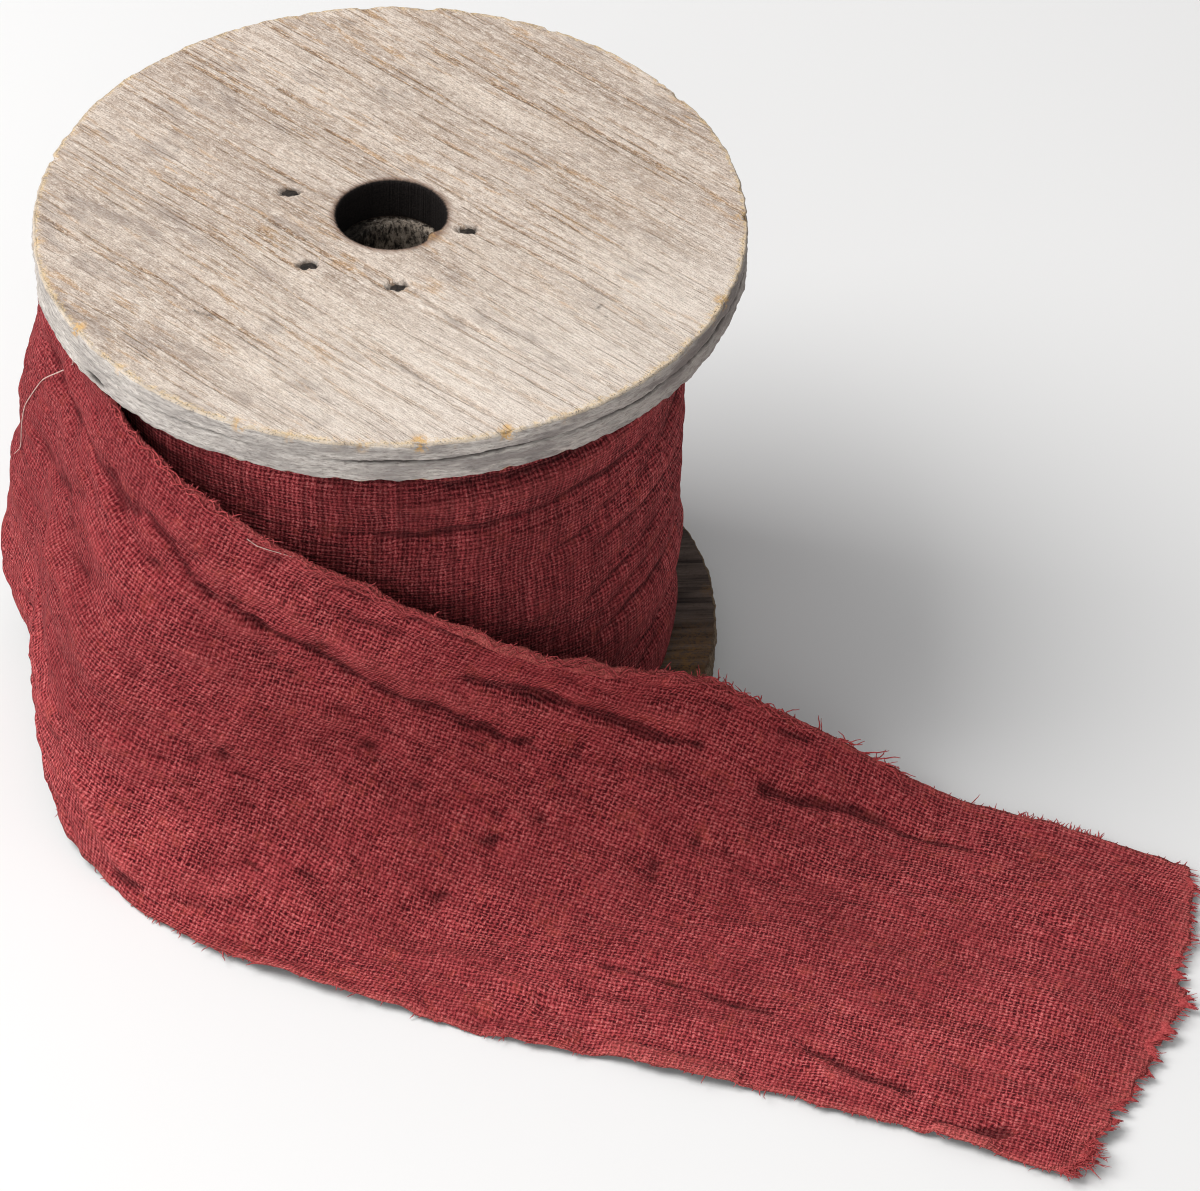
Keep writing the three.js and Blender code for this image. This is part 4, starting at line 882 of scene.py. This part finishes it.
def build_roll():
    na, nz = ((380, 92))
    deg = ROLL_START + 0.8 + 358.6 * np.linspace(0, 1, na)[:, None] * np.ones((1, nz))
    z = ROLL_Z0 - 0.1 + (WIDTH + 0.3) * np.ones((na, 1)) * np.linspace(0, 1, nz)[None, :]
    r, shape = roll_radius(deg, z)
    arc = np.radians(deg) * 48.5
    shape = 1.5 * shape + crinkle(arc, z * 1.0, 40, 0.5)
    r = r + 2.6 * np.exp(-((deg - 222) / 26) ** 2) * smooth((z - 44) / 18)
    ends = smooth((z - ROLL_Z0) / 1.2) * smooth((ROLL_Z0 + WIDTH - z) / 1.2)
    r = r + np.clip(shape, -1.3, 0.75) * (0.3 + 0.7 * ends) - 0.5 * (1 - ends)
    z = z + 0.35 * noise2(arc / 9.0, z / 40.0, 44) * (1 - ends)
    x, y = r * np.cos(np.radians(deg)), r * np.sin(np.radians(deg))
    points = np.stack([x, y, z + lean(x, y, z)], -1).reshape(-1, 3)
    quads = grid_quads(na, nz, closed=True)
    threads = np.stack([arc / PITCH_ALONG, z / PITCH_ACROSS], -1).reshape(-1, 2)
    # Painted shade in the hollows of the roll's folds and crinkle, and painted highlight on their ridges.
    fold = hollows(shape, 305 / na).ravel()
    # The wound ends: turn upon turn, seen in the slots beside the discs.
    rings = 26
    idx = np.arange(na * nz).reshape(na, nz)
    all_points, all_quads, all_threads, all_fold = [points], [quads], [threads], [fold]
    base = len(points)
    for top in (False, True):
        edge = idx[:, -1] if top else idx[:, 0]
        k = np.linspace(0, 1, rings + 1)[1:]
        er = np.hypot(points[edge, 0], points[edge, 1])
        ang = np.arctan2(points[edge, 1], points[edge, 0])
        rr = er[:, None] * (1 - k) + (CORE_R + 0.4) * k
        zz = (ROLL_Z0 + WIDTH if top else ROLL_Z0) + np.zeros_like(rr)
        zz = zz + (0.5 if top else -0.5) * np.abs(noise2(rr / 0.9, ang[:, None] * 6, 51)) * (-1) - 0.1 * (1 if top else -1)
        xx, yy = rr * np.cos(ang)[:, None], rr * np.sin(ang)[:, None]
        ring = np.stack([xx, yy, zz + lean(xx, yy, zz)], -1)
        ids = base + np.arange(na * rings).reshape(na, rings)
        grid = np.concatenate([edge[:, None], ids], 1)
        nxt = np.roll(grid, -1, 0)
        q = np.stack([grid[:, :-1], nxt[:, :-1], nxt[:, 1:], grid[:, 1:]], -1).reshape(-1, 4)
        all_points.append(ring.reshape(-1, 3))
        all_quads.append(q)
        all_threads.append(np.stack([np.broadcast_to(ang[:, None] * 40 / PITCH_ALONG, rr.shape), rr / PITCH_ACROSS], -1).reshape(-1, 2))
        # A noise over the wound ends gives the same painted shade and highlight.
        all_fold.append((0.6 * noise2(rr / 0.6, ang[:, None] * 9, 52)).ravel())
        base += na * rings
        inner_edge = ids[:, -1]
        if top:
            top_inner = inner_edge
        else:
            low_inner = inner_edge
    nxt_t, nxt_l = np.roll(top_inner, -1), np.roll(low_inner, -1)
    all_quads.append(np.stack([top_inner, nxt_t, nxt_l, low_inner], -1))
    obj = mesh_of("gauze_roll", np.concatenate(all_points), list(all_quads), {"threads": np.concatenate(all_threads)},
                  {"fold": np.concatenate(all_fold), "fray_and_sheen": 0 * np.concatenate(all_fold)}, ROLL_GAUZE)
    fix_normals(obj)
    return obj


roll = build_roll()
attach(roll, "root")
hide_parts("roll")


# ---- the boards ----
def board(name, radius, z0, tilt, material, seed, marks=False):
    """A disc with a hole: top, weathered rim, side in two plies, underside and bore, in one closed grid of points."""
    na = 640
    ang = np.linspace(0, 2 * np.pi, na, endpoint=False)
    z1 = z0 + BOARD
    # Rings of (radius, height, kind) from the bore's foot up over the top and down the side to the underside.
    path = [(HOLE_R, z0 + BOARD * k, "bore") for k in np.linspace(0.04, 0.94, 9)]
    path += [(HOLE_R + 0.12, z1 - 0.12, "lip")]
    count = 84
    path += [(r, z1, "top") for r in np.linspace(HOLE_R + 0.5, radius - 1.0, count)]
    path += [(radius - 0.55, z1 - 0.03, "top"), (radius - 0.25, z1 - 0.14, "rim"), (radius - 0.08, z1 - 0.34, "rim")]
    path += [(radius, z1 - h, "side") for h in np.linspace(0.6, BOARD - 0.6, 26)]
    path += [(radius - 0.12, z0 + 0.22, "rim"), (radius - 0.45, z0 + 0.03, "low"), (radius - 1.0, z0, "low")]
    path += [(r, z0, "low") for r in np.linspace(radius - 3, HOLE_R + 0.6, 16)]
    path += [(HOLE_R + 0.12, z0 + 0.1, "low")]
    kinds = [k for _, _, k in path]
    r = np.array([p[0] for p in path])[None, :] * np.ones((na, 1))
    z = np.array([p[1] for p in path])[None, :] * np.ones((na, 1))
    a = ang[:, None] * np.ones_like(r)
    kind = np.array(kinds)[None, :].repeat(na, 0)
    is_side = (kind == "side")
    is_rim = (kind == "rim")
    is_top = (kind == "top")
    arc = a * radius

    def around(length, seed2, zz=0.0, stretch=1.0):
        # noise that closes on itself round the rim
        return noise2(np.cos(a) * radius / length + 40, np.sin(a) * radius / length + zz * stretch + seed2 * 7.3, seed + seed2)

    out = 0.22 * around(16, 1) + 0.18 * around(5, 2, z, 0.4) + 0.20 * around(1.6, 3, z, 1.3) + 0.10 * around(0.8, 4, z, 1.5)
    ridges = 0.16 * noise2(arc / 9.0, z * 1.5, seed + 5)
    ridges[:] = np.where(np.cos(a / 2) ** 2 > 0.999, 0.16 * around(9, 5, z, 1.5), ridges)
    outer = smooth((r - radius + 1.6) / 1.2)
    r = r + (out * 0.9 + ridges * is_side) * outer
    # The joint between the two plies is a dark groove, open here and there.
    joint = z0 + BOARD * 0.52 + 0.35 * around(30, 8) + 0.12 * around(6, 9)
    groove = np.exp(-((z - joint) / 0.24) ** 2) * is_side * (0.25 + 0.75 * smooth(around(22, 10) * 1.2 + (0.55 if marks else 0.2)))
    right = smooth((np.cos(a - math.radians(-50)) - 0.1) / 0.5)
    groove = groove * (0.35 + 0.65 * right) if marks else groove
    r = r - 0.55 * groove
    # Chips torn from the rim.
    chip = smooth(around(3.6, 12) * 1.9 - 0.22) * smooth(around(22, 13) * 1.4 + (0.40 if marks else 0.0))
    front = smooth((-np.sin(a) + 0.35) / 0.6)
    near_rim = smooth((r - radius + 2.6) / 1.8) * (is_top | is_rim) + is_side * smooth((z - z1 + 2.0) / 1.4)
    r = r - chip * (is_rim | (is_side & (z > z1 - 1.2))) * 0.45
    z = z - chip * smooth((r - radius + 1.9) / 1.2) * (is_top | is_rim) * 0.35
    # Relief of the worn top.
    x, y = r * np.cos(a), r * np.sin(a)
    g = math.radians(-47 if marks else 4)
    al, ac = x * math.cos(g) + y * math.sin(g), -x * math.sin(g) + y * math.cos(g)
    relief = 0.05 * noise2(al / 22, ac / 1.1, seed + 20) + 0.04 * noise2(al / 9, ac / 0.6, seed + 21)
    z = z + relief * is_top * (1 - near_rim * 0.3)
    low_ragged = (kind == "low") | (is_side & (z < z0 + 0.9)) | (is_rim & (z < z0 + 1))
    if marks:
        z = z + low_ragged * smooth((r - radius + 2) / 1.5) * (0.22 * around(3, 30) + 0.18 * around(1.2, 31))
    # The chip in the hole's near rim, and its worn edge.
    hole_edge = smooth((HOLE_R + 1.6 - r) / 1.4)
    r = r + (0.10 * around(2.5, 33) + 0.10 * around(0.9, 34)) * hole_edge * (kind != "low")
    mark = np.zeros_like(r)
    chips = np.clip(chip * near_rim * 1.6, 0, 1)
    if marks:
        bite = np.exp(-((np.degrees(a) - 322) / 10) ** 2) * hole_edge
        r = r - 1.1 * bite * (kind != "low")
        chips = np.clip(chips + 0.5 * bite, 0, 1)
        scorch = smooth((HOLE_R + 0.95 + 0.5 * around(3, 36) - r) / 0.8) * (is_top | (kind == "lip"))
        mark = mark + scorch * 0.45 * smooth((np.sin(a) + 0.5) / 0.8)
        crack = np.exp(-((np.degrees(a) - 216.5) / 2.2) ** 2) * np.exp(-((z - z0 - 1.2) / 0.5) ** 2) * is_side
        r = r - 0.9 * crack
        groove = np.clip(groove + crack * 1.4, 0, 1)
    x, y = r * np.cos(a), r * np.sin(a)
    if marks:
        for k, (nx, ny) in enumerate(NAILS):
            dx, dy = x - nx, y - ny
            c, s = math.cos(math.radians(8)), math.sin(math.radians(8))
            du, dv = dx * c + dy * s, -dx * s + dy * c
            ragged = 1 + 0.35 * noise2(dx * 1.3, dy * 1.3, 60 + k)
            d = np.hypot(du / (2.0 * ragged), dv / (1.15 * ragged))
            pit = smooth((1.15 - d) / 0.5) * is_top
            z = z - 0.85 * pit
            mark = np.maximum(mark, smooth((1.25 - d) / 0.55) * (0.70 + 0.35 * noise2(dx * 2.5, dy * 2.5, 70 + k)) * is_top)
        # Small dark scratches and pricks: x, y, half-length, half-width, angle, strength.
        for mx, my, hl, hw, deg, power in [
            (-29.5, -25.5, 3.6, 0.6, -25, 0.75), (-13.7, -6.6, 1.0, 0.5, 10, 0.6), (3.5, -8.9, 1.1, 0.5, 0, 0.75),
            (33.0, -23.5, 1.6, 0.35, 60, 0.55), (34.0, -26.0, 1.7, 0.3, 95, 0.5), (-23.0, 19.5, 5.0, 0.30, 62, 0.35),
            (-35.0, 17.0, 1.2, 0.35, 100, 0.5), (1.8, -36.0, 8.0, 0.28, 91, 0.35), (-45.0, 3.0, 4.2, 1.2, -40, 0.35),
            (-48.0, -6.0, 5.0, 1.6, -45, 0.35), (-33.0, -31.0, 4.5, 1.0, -42, 0.3), (4.5, -21.0, 5.5, 1.0, -40, 0.35),
            (9.5, -25.5, 5.0, 0.9, -42, 0.28), (-14.5, 42.0, 3.8, 2.2, -40, 0.28), (47.0, 4.0, 4.5, 2.0, -35, 0.22),
            (-5.0, 30.0, 6.0, 0.8, -45, 0.22), (-38.0, -14.0, 3.0, 0.5, -45, 0.3), (45.5, -22.0, 2.2, 0.8, -45, 0.35),
        ]:
            c, s = math.cos(math.radians(deg)), math.sin(math.radians(deg))
            dx, dy = x - mx, y - my
            d = np.hypot((dx * c + dy * s) / hl, (-dx * s + dy * c) / hw)
            mark = np.maximum(mark, power * smooth(1.2 - d) * (0.75 + 0.5 * noise2(dx * 1.7, dy * 1.7, 90)) * is_top)
    if tilt:
        z = z + lean(x, y, z)
    points = np.stack([x, y, z], -1).reshape(-1, 3)
    m = r.shape[1]
    quads = grid_quads(na, m, closed=True)
    idx = np.arange(na * m).reshape(na, m)
    first, last = idx[:, 0], idx[:, -1]
    shut = np.stack([last, np.roll(last, -1), np.roll(first, -1), first], -1)
    side = (is_side | is_rim) * 1.0 + (kind == "low") * 0.0
    if marks:
        side = np.where(is_rim & (z > z0 + 3), 0.5, side)
    bore = ((kind == "bore") | (kind == "lip")) * 1.0
    obj = mesh_of(name, points, [quads, shut], None,
                  {"side": side.ravel(), "ply": np.clip(groove, 0, 1).ravel(), "bore": bore.ravel(),
                   "mark": np.clip(mark, 0, 1).ravel(), "chip": np.clip(chips * (0.3 + 0.7 * front), 0, 1).ravel()}, material)
    fix_normals(obj)
    return obj


top = board("upper_board", TOP_R, HEIGHT - BOARD, True, PALE, 100, marks=True)
bottom = board("lower_board", BOTTOM_R, 0.0, False, DARK, 200)
for obj, node, slot in ((top, "flange_top", "wood_pale"), (bottom, "flange_bottom", "wood_dark")):
    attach(obj, "root")
    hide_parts(node)


# ---- core and nail heads ----
def build_core():
    na, nz = 160, 60
    a = np.linspace(0, 2 * np.pi, na, endpoint=False)[:, None] * np.ones((1, nz))
    z0, z1 = BOARD + 0.3, HEIGHT - BOARD - 0.3
    z = z0 + (z1 - z0) * np.ones((na, 1)) * np.linspace(0, 1, nz)[None, :]
    r = BORE_R + 0.12 * noise2(np.cos(a) * 6 + 9, np.sin(a) * 6, 301) + 0.10 * noise2(a * 12, z / 20, 302) * (a < 6.0)
    inner = np.stack([BORE_X + r * np.cos(a), r * np.sin(a), z], -1)
    outer = np.stack([CORE_R * np.cos(a[:, :2]), CORE_R * np.sin(a[:, :2]), np.stack([z[:, 0], z[:, -1]], -1)], -1)
    n = na * nz
    points = np.concatenate([inner.reshape(-1, 3), outer.reshape(-1, 3)])
    points[:, 2] += lean(points[:, 0], points[:, 1], points[:, 2])
    ii = np.arange(n).reshape(na, nz)
    oo = n + np.arange(na * 2).reshape(na, 2)
    ring = [grid_quads(na, nz, closed=True)]
    for b, o in ((ii[:, 0], oo[:, 0]), (ii[:, -1], oo[:, 1]), (oo[:, 0], oo[:, 1])):
        ring.append(np.stack([b, np.roll(b, -1), np.roll(o, -1), o], -1))
    obj = mesh_of("spool_core", points, ring, None, {}, CORE)
    fix_normals(obj)
    return obj


core = build_core()
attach(core, "root")
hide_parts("core")


def build_nails():
    points, quads, tris = [], [], []
    for k, (nx, ny) in enumerate(NAILS):
        na = 20
        a = np.linspace(0, 2 * np.pi, na, endpoint=False)
        top_z = HEIGHT - 0.62
        base = len(points)
        for rr, zz in ((1.3, top_z - 0.35), (1.3, top_z - 0.08), (1.15, top_z), (0.5, top_z + 0.05)):
            wobble = rr * (1 + 0.06 * np.sin(3 * a + k))
            x, y = nx + wobble * np.cos(a), ny + wobble * np.sin(a)
            points += list(np.stack([x, y, zz + lean(x, y, zz + 0 * x)], -1))
        points.append([nx, ny, top_z + 0.06 + lean(nx, ny, top_z)])
        points.append([nx, ny, top_z - 0.35 + lean(nx, ny, top_z)])
        for lvl in range(3):
            for q in range(na):
                w = (q + 1) % na
                quads.append([base + lvl * na + q, base + lvl * na + w, base + (lvl + 1) * na + w, base + (lvl + 1) * na + q])
        for q in range(na):
            w = (q + 1) % na
            tris.append([base + 3 * na + q, base + 3 * na + w, base + 4 * na])
            tris.append([base + w, base + q, base + 4 * na + 1])
    obj = mesh_of("nail_heads", np.array(points), [np.array(quads), np.array(tris)], None, {}, STEEL)
    fix_normals(obj)
    return obj


nails = build_nails()
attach(nails, "root")
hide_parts("nail_left", "nail_front_left", "nail_front", "nail_right")


# ---- threads: the torn end's fringe, the frayed edges and stray fibres ----
class Strands:
    """Thin tapering tubes collected into one mesh."""

    def __init__(self, sides=4):
        self.points, self.quads, self.threads, self.sides = [], [], [], sides
        self.count = 0

    def add(self, line, radius, taper=0.35, floor=True):
        line = np.asarray(line, float)
        if floor:
            line[:, 2] = np.maximum(line[:, 2], radius + 0.03)
        n, m = len(line), self.sides
        d = np.gradient(line, axis=0)
        d /= np.linalg.norm(d, axis=1, keepdims=True) + 1e-9
        ref = np.where(np.abs(d[:, 2:3]) > 0.8, np.array([[1.0, 0, 0]]), np.array([[0, 0, 1.0]]))
        e1 = np.cross(d, ref)
        e1 /= np.linalg.norm(e1, axis=1, keepdims=True) + 1e-9
        e2 = np.cross(d, e1)
        k = np.linspace(0, 1, n)
        rad = radius * (1 - (1 - taper) * k ** 2)
        a = np.linspace(0, 2 * np.pi, m, endpoint=False)
        ring = line[:, None] + rad[:, None, None] * (np.cos(a)[None, :, None] * e1[:, None] + np.sin(a)[None, :, None] * e2[:, None])
        base = self.count
        self.points.append(ring.reshape(-1, 3))
        i, j = np.meshgrid(np.arange(n - 1), np.arange(m), indexing="ij")
        w = (j + 1) % m
        self.quads.append((np.stack([i * m + j, i * m + w, (i + 1) * m + w, (i + 1) * m + j], -1).reshape(-1, 4) + base))
        caps = np.array([[base + q for q in range(m)][::-1], [base + (n - 1) * m + q for q in range(m)]])
        if m == 4:
            self.quads.append(caps)
        else:
            self.quads.append(np.array([[c[0], c[1], c[2], c[2]] for c in caps]))
        self.threads.append(np.repeat(np.stack([k * 3 + base * 0.37, 0.5 + 0 * k], -1), m, 0))
        self.count += n * m

    def build(self, name, material):
        obj = mesh_of(name, np.concatenate(self.points), list(self.quads), {"threads": np.concatenate(self.threads)},
                      {"fold": np.zeros(self.count)}, material)
        return obj


def strand_material(name, color_a, color_b):
    n = Nodes(name)
    place = n.place()
    spin = n.noise(place, 2.6, 3.0, 0.7)
    color = n.mix(n.range(spin, 0.3, 0.7), color_a, color_b)
    return n.surface(color=color, rough=0.92, normal=n.bump(spin, 0.0001, 0.6), sheen=0.25,
                     sheen_tint=srgb(230, 160, 160), shine=0.1)


THREAD = strand_material("loose threads", srgb(146, 46, 51), srgb(212, 98, 98))
LINT = strand_material("pale lint", srgb(196, 160, 150), srgb(232, 206, 196))


def curl(start, direction, length, up, wild, steps=7):
    """A short thread that sets out along direction and wanders."""
    direction = np.asarray(direction, float) / (np.linalg.norm(direction) + 1e-9)
    p = [np.asarray(start, float)]
    d = direction.copy()
    for _ in range(steps):
        d = d + wild * rng.normal(size=3) * np.array([1, 1, 0.5])
        d[2] += up
        d /= np.linalg.norm(d)
        up *= 0.45
        p.append(p[-1] + d * length / steps)
    return np.array(p)


RIM_A, RIM_T = np.linspace(0, 1, 700), np.concatenate([np.linspace(-0.03, 0.09, 31), np.linspace(0.1, 0.9, 33), np.linspace(0.91, 1.03, 31)])
RIM = [tail_faces(*np.meshgrid(RIM_A, RIM_T, indexing="ij"), side)[0] for side in (0, 1)]


def rim_point(along, across, side=0.0):
    """A point of the cloth's middle (side 0) or outer face (side 1), read from a table of them."""
    held = min(max(float(along), 0.0), 1.0)
    a = min(held * (len(RIM_A) - 1), len(RIM_A) - 1.001)
    t = float(np.interp(across, RIM_T, np.arange(len(RIM_T))))
    t = min(t, len(RIM_T) - 1.001)
    i, j = int(a), int(t)
    u, v = a - i, t - j
    g = RIM[1 if side > 0 else 0]
    p = (g[i, j] * (1 - u) + g[i + 1, j] * u) * (1 - v) + (g[i, j + 1] * (1 - u) + g[i + 1, j + 1] * u) * v
    if along > 1:
        p = p + end_way(across) * (along - 1) * TAIL_LENGTH
    return p


def end_way(across):
    """The level direction in which the cloth ends, there."""
    ahead = sheet_points(1.02, across) - sheet_points(1.0, across)
    ahead[2] = 0
    return ahead / np.linalg.norm(ahead)


def build_fringe():
    s = Strands(4)
    # Pointed tufts: threads that set out side by side and meet at a tip.
    small = [(float(q), None) for q in rng.uniform(0.01, 0.99, 34)]
    for middle, far in TUFTS + small:
        ahead = end_way(middle)
        cross = np.array([-ahead[1], ahead[0], 0])
        reach = end_reach(middle) + float(torn_end(np.array([middle]))[0])
        length = max(far - reach, 1.0) if far else rng.uniform(0.5, 1.5)
        lean_to = 0.5 * float(noise2(np.array(middle * WIDTH / 6.0), np.array(7.0), 72)) + 0.25 * rng.normal()
        tip = rim_point(1 + (reach - 0.4) / TAIL_LENGTH, middle) + (ahead + cross * lean_to) * (length + 0.4)
        half = (rng.uniform(1.0, 1.5) if far else rng.uniform(0.5, 0.9)) / WIDTH
        count = 13 if far else 7
        for q in range(count):
            off = (q - (count - 1) / 2) / ((count - 1) / 2)
            across = min(max(middle + half * off, 0.001), 0.999)
            root = rim_point(1 + (end_reach(across) + float(torn_end(np.array([across]))[0]) - 1.3) / TAIL_LENGTH, across)
            w = np.linspace(0, 1, 6)[:, None]
            end = tip + rng.normal(size=3) * np.array([0.10, 0.10, 0.04]) - (ahead * length * 0.45 * abs(off) ** 1.5) + cross * off * 0.10
            line = root * (1 - w) + end * w + cross * (0.18 * rng.normal() * np.sin(np.pi * w)) + np.array([0, 0, 0.18]) * np.sin(np.pi * w)
            s.add(line, 0.17 + 0.05 * rng.random(), 0.25)
    # Single threads between them.
    singles = 150
    for k in range(singles):
        across = (k + rng.random()) / singles
        reach = (end_reach(across) + float(torn_end(np.array([across]))[0])) / TAIL_LENGTH
        root = rim_point(1 + reach - 0.0022, across)
        ahead = end_way(across)
        cross = np.array([-ahead[1], ahead[0], 0])
        drift = 0.8 * float(noise2(np.array(across * WIDTH / 4.0), np.array(7.0), 72)) + 0.3 * rng.normal()
        s.add(curl(root, ahead + cross * drift, 1.0 + 1.9 * rng.random(), 0.05 + 0.10 * rng.random(), 0.10), 0.09 + 0.06 * rng.random(), 0.3)
    # A messy tuft at the near corner.
    for k in range(70):
        across = 0.90 + 0.10 * rng.random()
        reach = float(end_reach(across)) / TAIL_LENGTH
        root = rim_point(1 + reach - 0.004 + 0.004 * rng.random(), across)
        angle = rng.uniform(-1.3, 0.9)
        ahead = sheet_points(1.02, across) - sheet_points(1.0, across)
        c, sn = math.cos(angle), math.sin(angle)
        d = np.array([ahead[0] * c - ahead[1] * sn, ahead[0] * sn + ahead[1] * c, 0])
        s.add(curl(root + np.array([0, 0, 0.3]), d, 1.6 + 3.0 * rng.random(), 0.15, 0.3), 0.10 + 0.05 * rng.random(), 0.3)
    # Frays along both long edges.
    for edge, total in ((0.0, 300), (1.0, 340)):
        for k in range(total // (1)):
            along = rng.uniform(0.24, 1.0)
            t0 = (edge_waver(np.array(along * TAIL_LENGTH), 1.7 if edge == 0 else 8.3) / WIDTH) + edge
            root = rim_point(along, float(t0))
            inside = rim_point(along, float(t0) + (0.01 if edge == 0 else -0.01))
            out = root - inside
            out /= np.linalg.norm(out)
            run = rim_point(min(along + 0.004, 1.0), float(t0)) - root
            run /= np.linalg.norm(run) + 1e-9
            length = 0.35 + 0.9 * rng.random() ** 2 + (1.4 if rng.random() < 0.05 else 0)
            s.add(curl(root - out * 0.3, out * rng.uniform(0.5, 1.0) + run * rng.normal() * 0.8, length + 0.3, 0.03, 0.22, 5), 0.10 + 0.06 * rng.random(), 0.35)
    # The rolled upper edge: loose threads that run along it, lifting in loops.
    for k in range(46):
        a0 = rng.uniform(0.36, 0.80)
        n_steps = 14
        span = rng.uniform(0.012, 0.05)
        line = []
        off = rng.uniform(-0.004, 0.014)
        for q in range(n_steps):
            aa = a0 + span * q / n_steps
            base = rim_point(aa, off + 0.006 * math.sin(q * 1.1 + k) + float(edge_waver(np.array(aa * TAIL_LENGTH), 1.7)) / WIDTH, 1.0)
            nrm = sheet_normals(np.array([[aa]]), np.array([[max(off, 0)]]))[0, 0]
            line.append(base + nrm * (0.12 + 0.4 * abs(math.sin(q * 0.45 + k))))
        s.add(np.array(line), 0.11 + 0.06 * rng.random(), 0.6)
    # The bunch of loose threads on the far edge, past the middle.
    for k in range(26):
        along = rng.uniform(0.812, 0.846)
        root = rim_point(along, 0.004 * rng.random())
        d = sheet_points(along + 0.01, 0.0) - sheet_points(along, 0.0) + np.array([0.9, 0.9, 0.0]) * rng.uniform(-0.2, 1.1)
        s.add(curl(root, d, 2.2 + 3.4 * rng.random(), 0.05, 0.20, 10), 0.14 + 0.06 * rng.random(), 0.4)
    for along, edge, length in ((0.889, 0, 3.2), (0.901, 0, 1.8), (0.43, 1, 1.8), (0.63, 1, 3.0), (0.636, 1, 2.4), (0.556, 1, 2.2), (0.562, 1, 1.6), (0.848, 1, 3.2), (0.325, 1, 2.0), (0.478, 0, 2.6)):
        root = rim_point(along, edge)
        out = rim_point(along, edge) - rim_point(along, edge + (0.02 if edge == 0 else -0.02))
        s.add(curl(root, out, length * 0.8, 0.15, 0.2, 8), 0.11, 0.3)
    for k in range(60):
        along = rng.uniform(0.912, 0.955)
        root = rim_point(along, 0.0)
        out = rim_point(along, 0.0) - rim_point(along, 0.02)
        s.add(curl(root, out + 0.5 * rng.normal(size=3) * np.array([1, 1, 0]), 0.7 + 1.0 * rng.random(), 0.06, 0.2, 5), 0.12, 0.3)
    return s.build("fringe_threads", THREAD)


fringe = build_fringe()
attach(fringe, "root")


def build_lint():
    s = Strands(4)
    # A long pale fibre caught under the upper board at the left, and a short one further on.
    way = [(0.323, 0.02), (0.321, 0.05), (0.301, 0.151), (0.284, 0.246), (0.278, 0.306), (0.272, 0.379), (0.270, 0.45), (0.273, 0.51), (0.262, 0.575)]
    line = np.array([rim_point(a, t, 1.0) for a, t in way])
    out = np.array([sheet_normals(np.array(a), np.array(t)) for a, t in way])
    line = line + out * 0.25
    k = np.linspace(0, len(way) - 1, 70)
    fine = np.stack([np.interp(k, np.arange(len(way)), line[:, c]) for c in range(3)], -1)
    for _ in range(6):
        fine[1:-1] = (fine[:-2] + 2 * fine[1:-1] + fine[2:]) / 4
    s.add(fine, 0.11, 0.6, floor=False)
    way = [(0.466, 0.020), (0.472, 0.026), (0.478, 0.020), (0.484, 0.010), (0.489, 0.004)]
    line = np.array([rim_point(a, t, 1.0) for a, t in way]) + np.array([sheet_normals(np.array(a), np.array(t)) for a, t in way]) * 0.35
    k = np.linspace(0, len(way) - 1, 24)
    s.add(np.stack([np.interp(k, np.arange(len(way)), line[:, c]) for c in range(3)], -1), 0.10, 0.6, floor=False)
    return s.build("pale_fibre", LINT)


lint = build_lint()
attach(lint, "root")

# ---- floor, light and camera ----
n = Nodes("studio floor")
patchy = n.noise(n.place(), 0.004, 2.0)
n.surface(color=n.mix(n.range(patchy, 0.3, 0.7), (0.91, 0.91, 0.91), (0.93, 0.93, 0.93)), rough=0.9, shine=0.1)
bpy.ops.mesh.primitive_plane_add(size=8, location=(0, 0, -0.00002))
floor = bpy.context.object
floor.name = "studio_floor"
floor.data.materials.append(n.material)

world = bpy.data.worlds.new("soft studio")
bpy.context.scene.world = world
world.use_nodes = True
world.node_tree.nodes["Background"].inputs["Color"].default_value = (1, 1, 1, 1)
world.node_tree.nodes["Background"].inputs["Strength"].default_value = 0.36


def lamp(name, energy, size, at, aim, color=(1, 1, 1)):
    data = bpy.data.lights.new(name, "AREA")
    data.energy, data.size, data.color = energy, size, color
    obj = bpy.data.objects.new(name, data)
    obj.location = at
    obj.rotation_mode = "QUATERNION"
    obj.rotation_quaternion = (Vector(aim) - Vector(at)).to_track_quat("-Z", "Y")
    bpy.context.scene.collection.objects.link(obj)


lamp("key", 11.6, 0.75, (-0.70, 0.02, 0.93), (-0.02, 0.0, 0.03), (1.0, 0.99, 0.98))
lamp("fill", 4.6, 1.2, (-0.25, -1.25, 0.50), (0.0, 0.0, 0.03), (1.0, 1.0, 1.0))

R = 57.5
C = np.array([0, -12.2560978, 10.84152555]) * R + AXIS
forward = np.array([0.03886789, 0.75413391, -0.65556948])
right = np.array([0.99919116, -0.0225626, 0.03328591])
up = np.array([-0.01031068, 0.65633298, 0.75440089])
data = bpy.data.cameras.new("photo_camera")
data.sensor_fit, data.sensor_width = "HORIZONTAL", 36.0
data.lens = 36.0 * 5468.708673331843 / 1200
data.clip_start, data.clip_end = 0.05, 20
camera = bpy.data.objects.new("photo_camera", data)
turn = Matrix(np.stack([right, up, -forward], 1).tolist()).to_4x4()
camera.matrix_world = Matrix.Translation(Vector((C * MM).tolist())) @ turn
bpy.context.scene.collection.objects.link(camera)
bpy.context.scene.camera = camera

scene = bpy.context.scene
scene.view_settings.view_transform = "Standard"
scene.view_settings.look = "None"
scene.view_settings.exposure = 0.0
scene.view_settings.gamma = 1.0
scene.cycles.max_bounces = 1
scene.cycles.use_denoising = True
scene.cycles.filter_width = 1.1
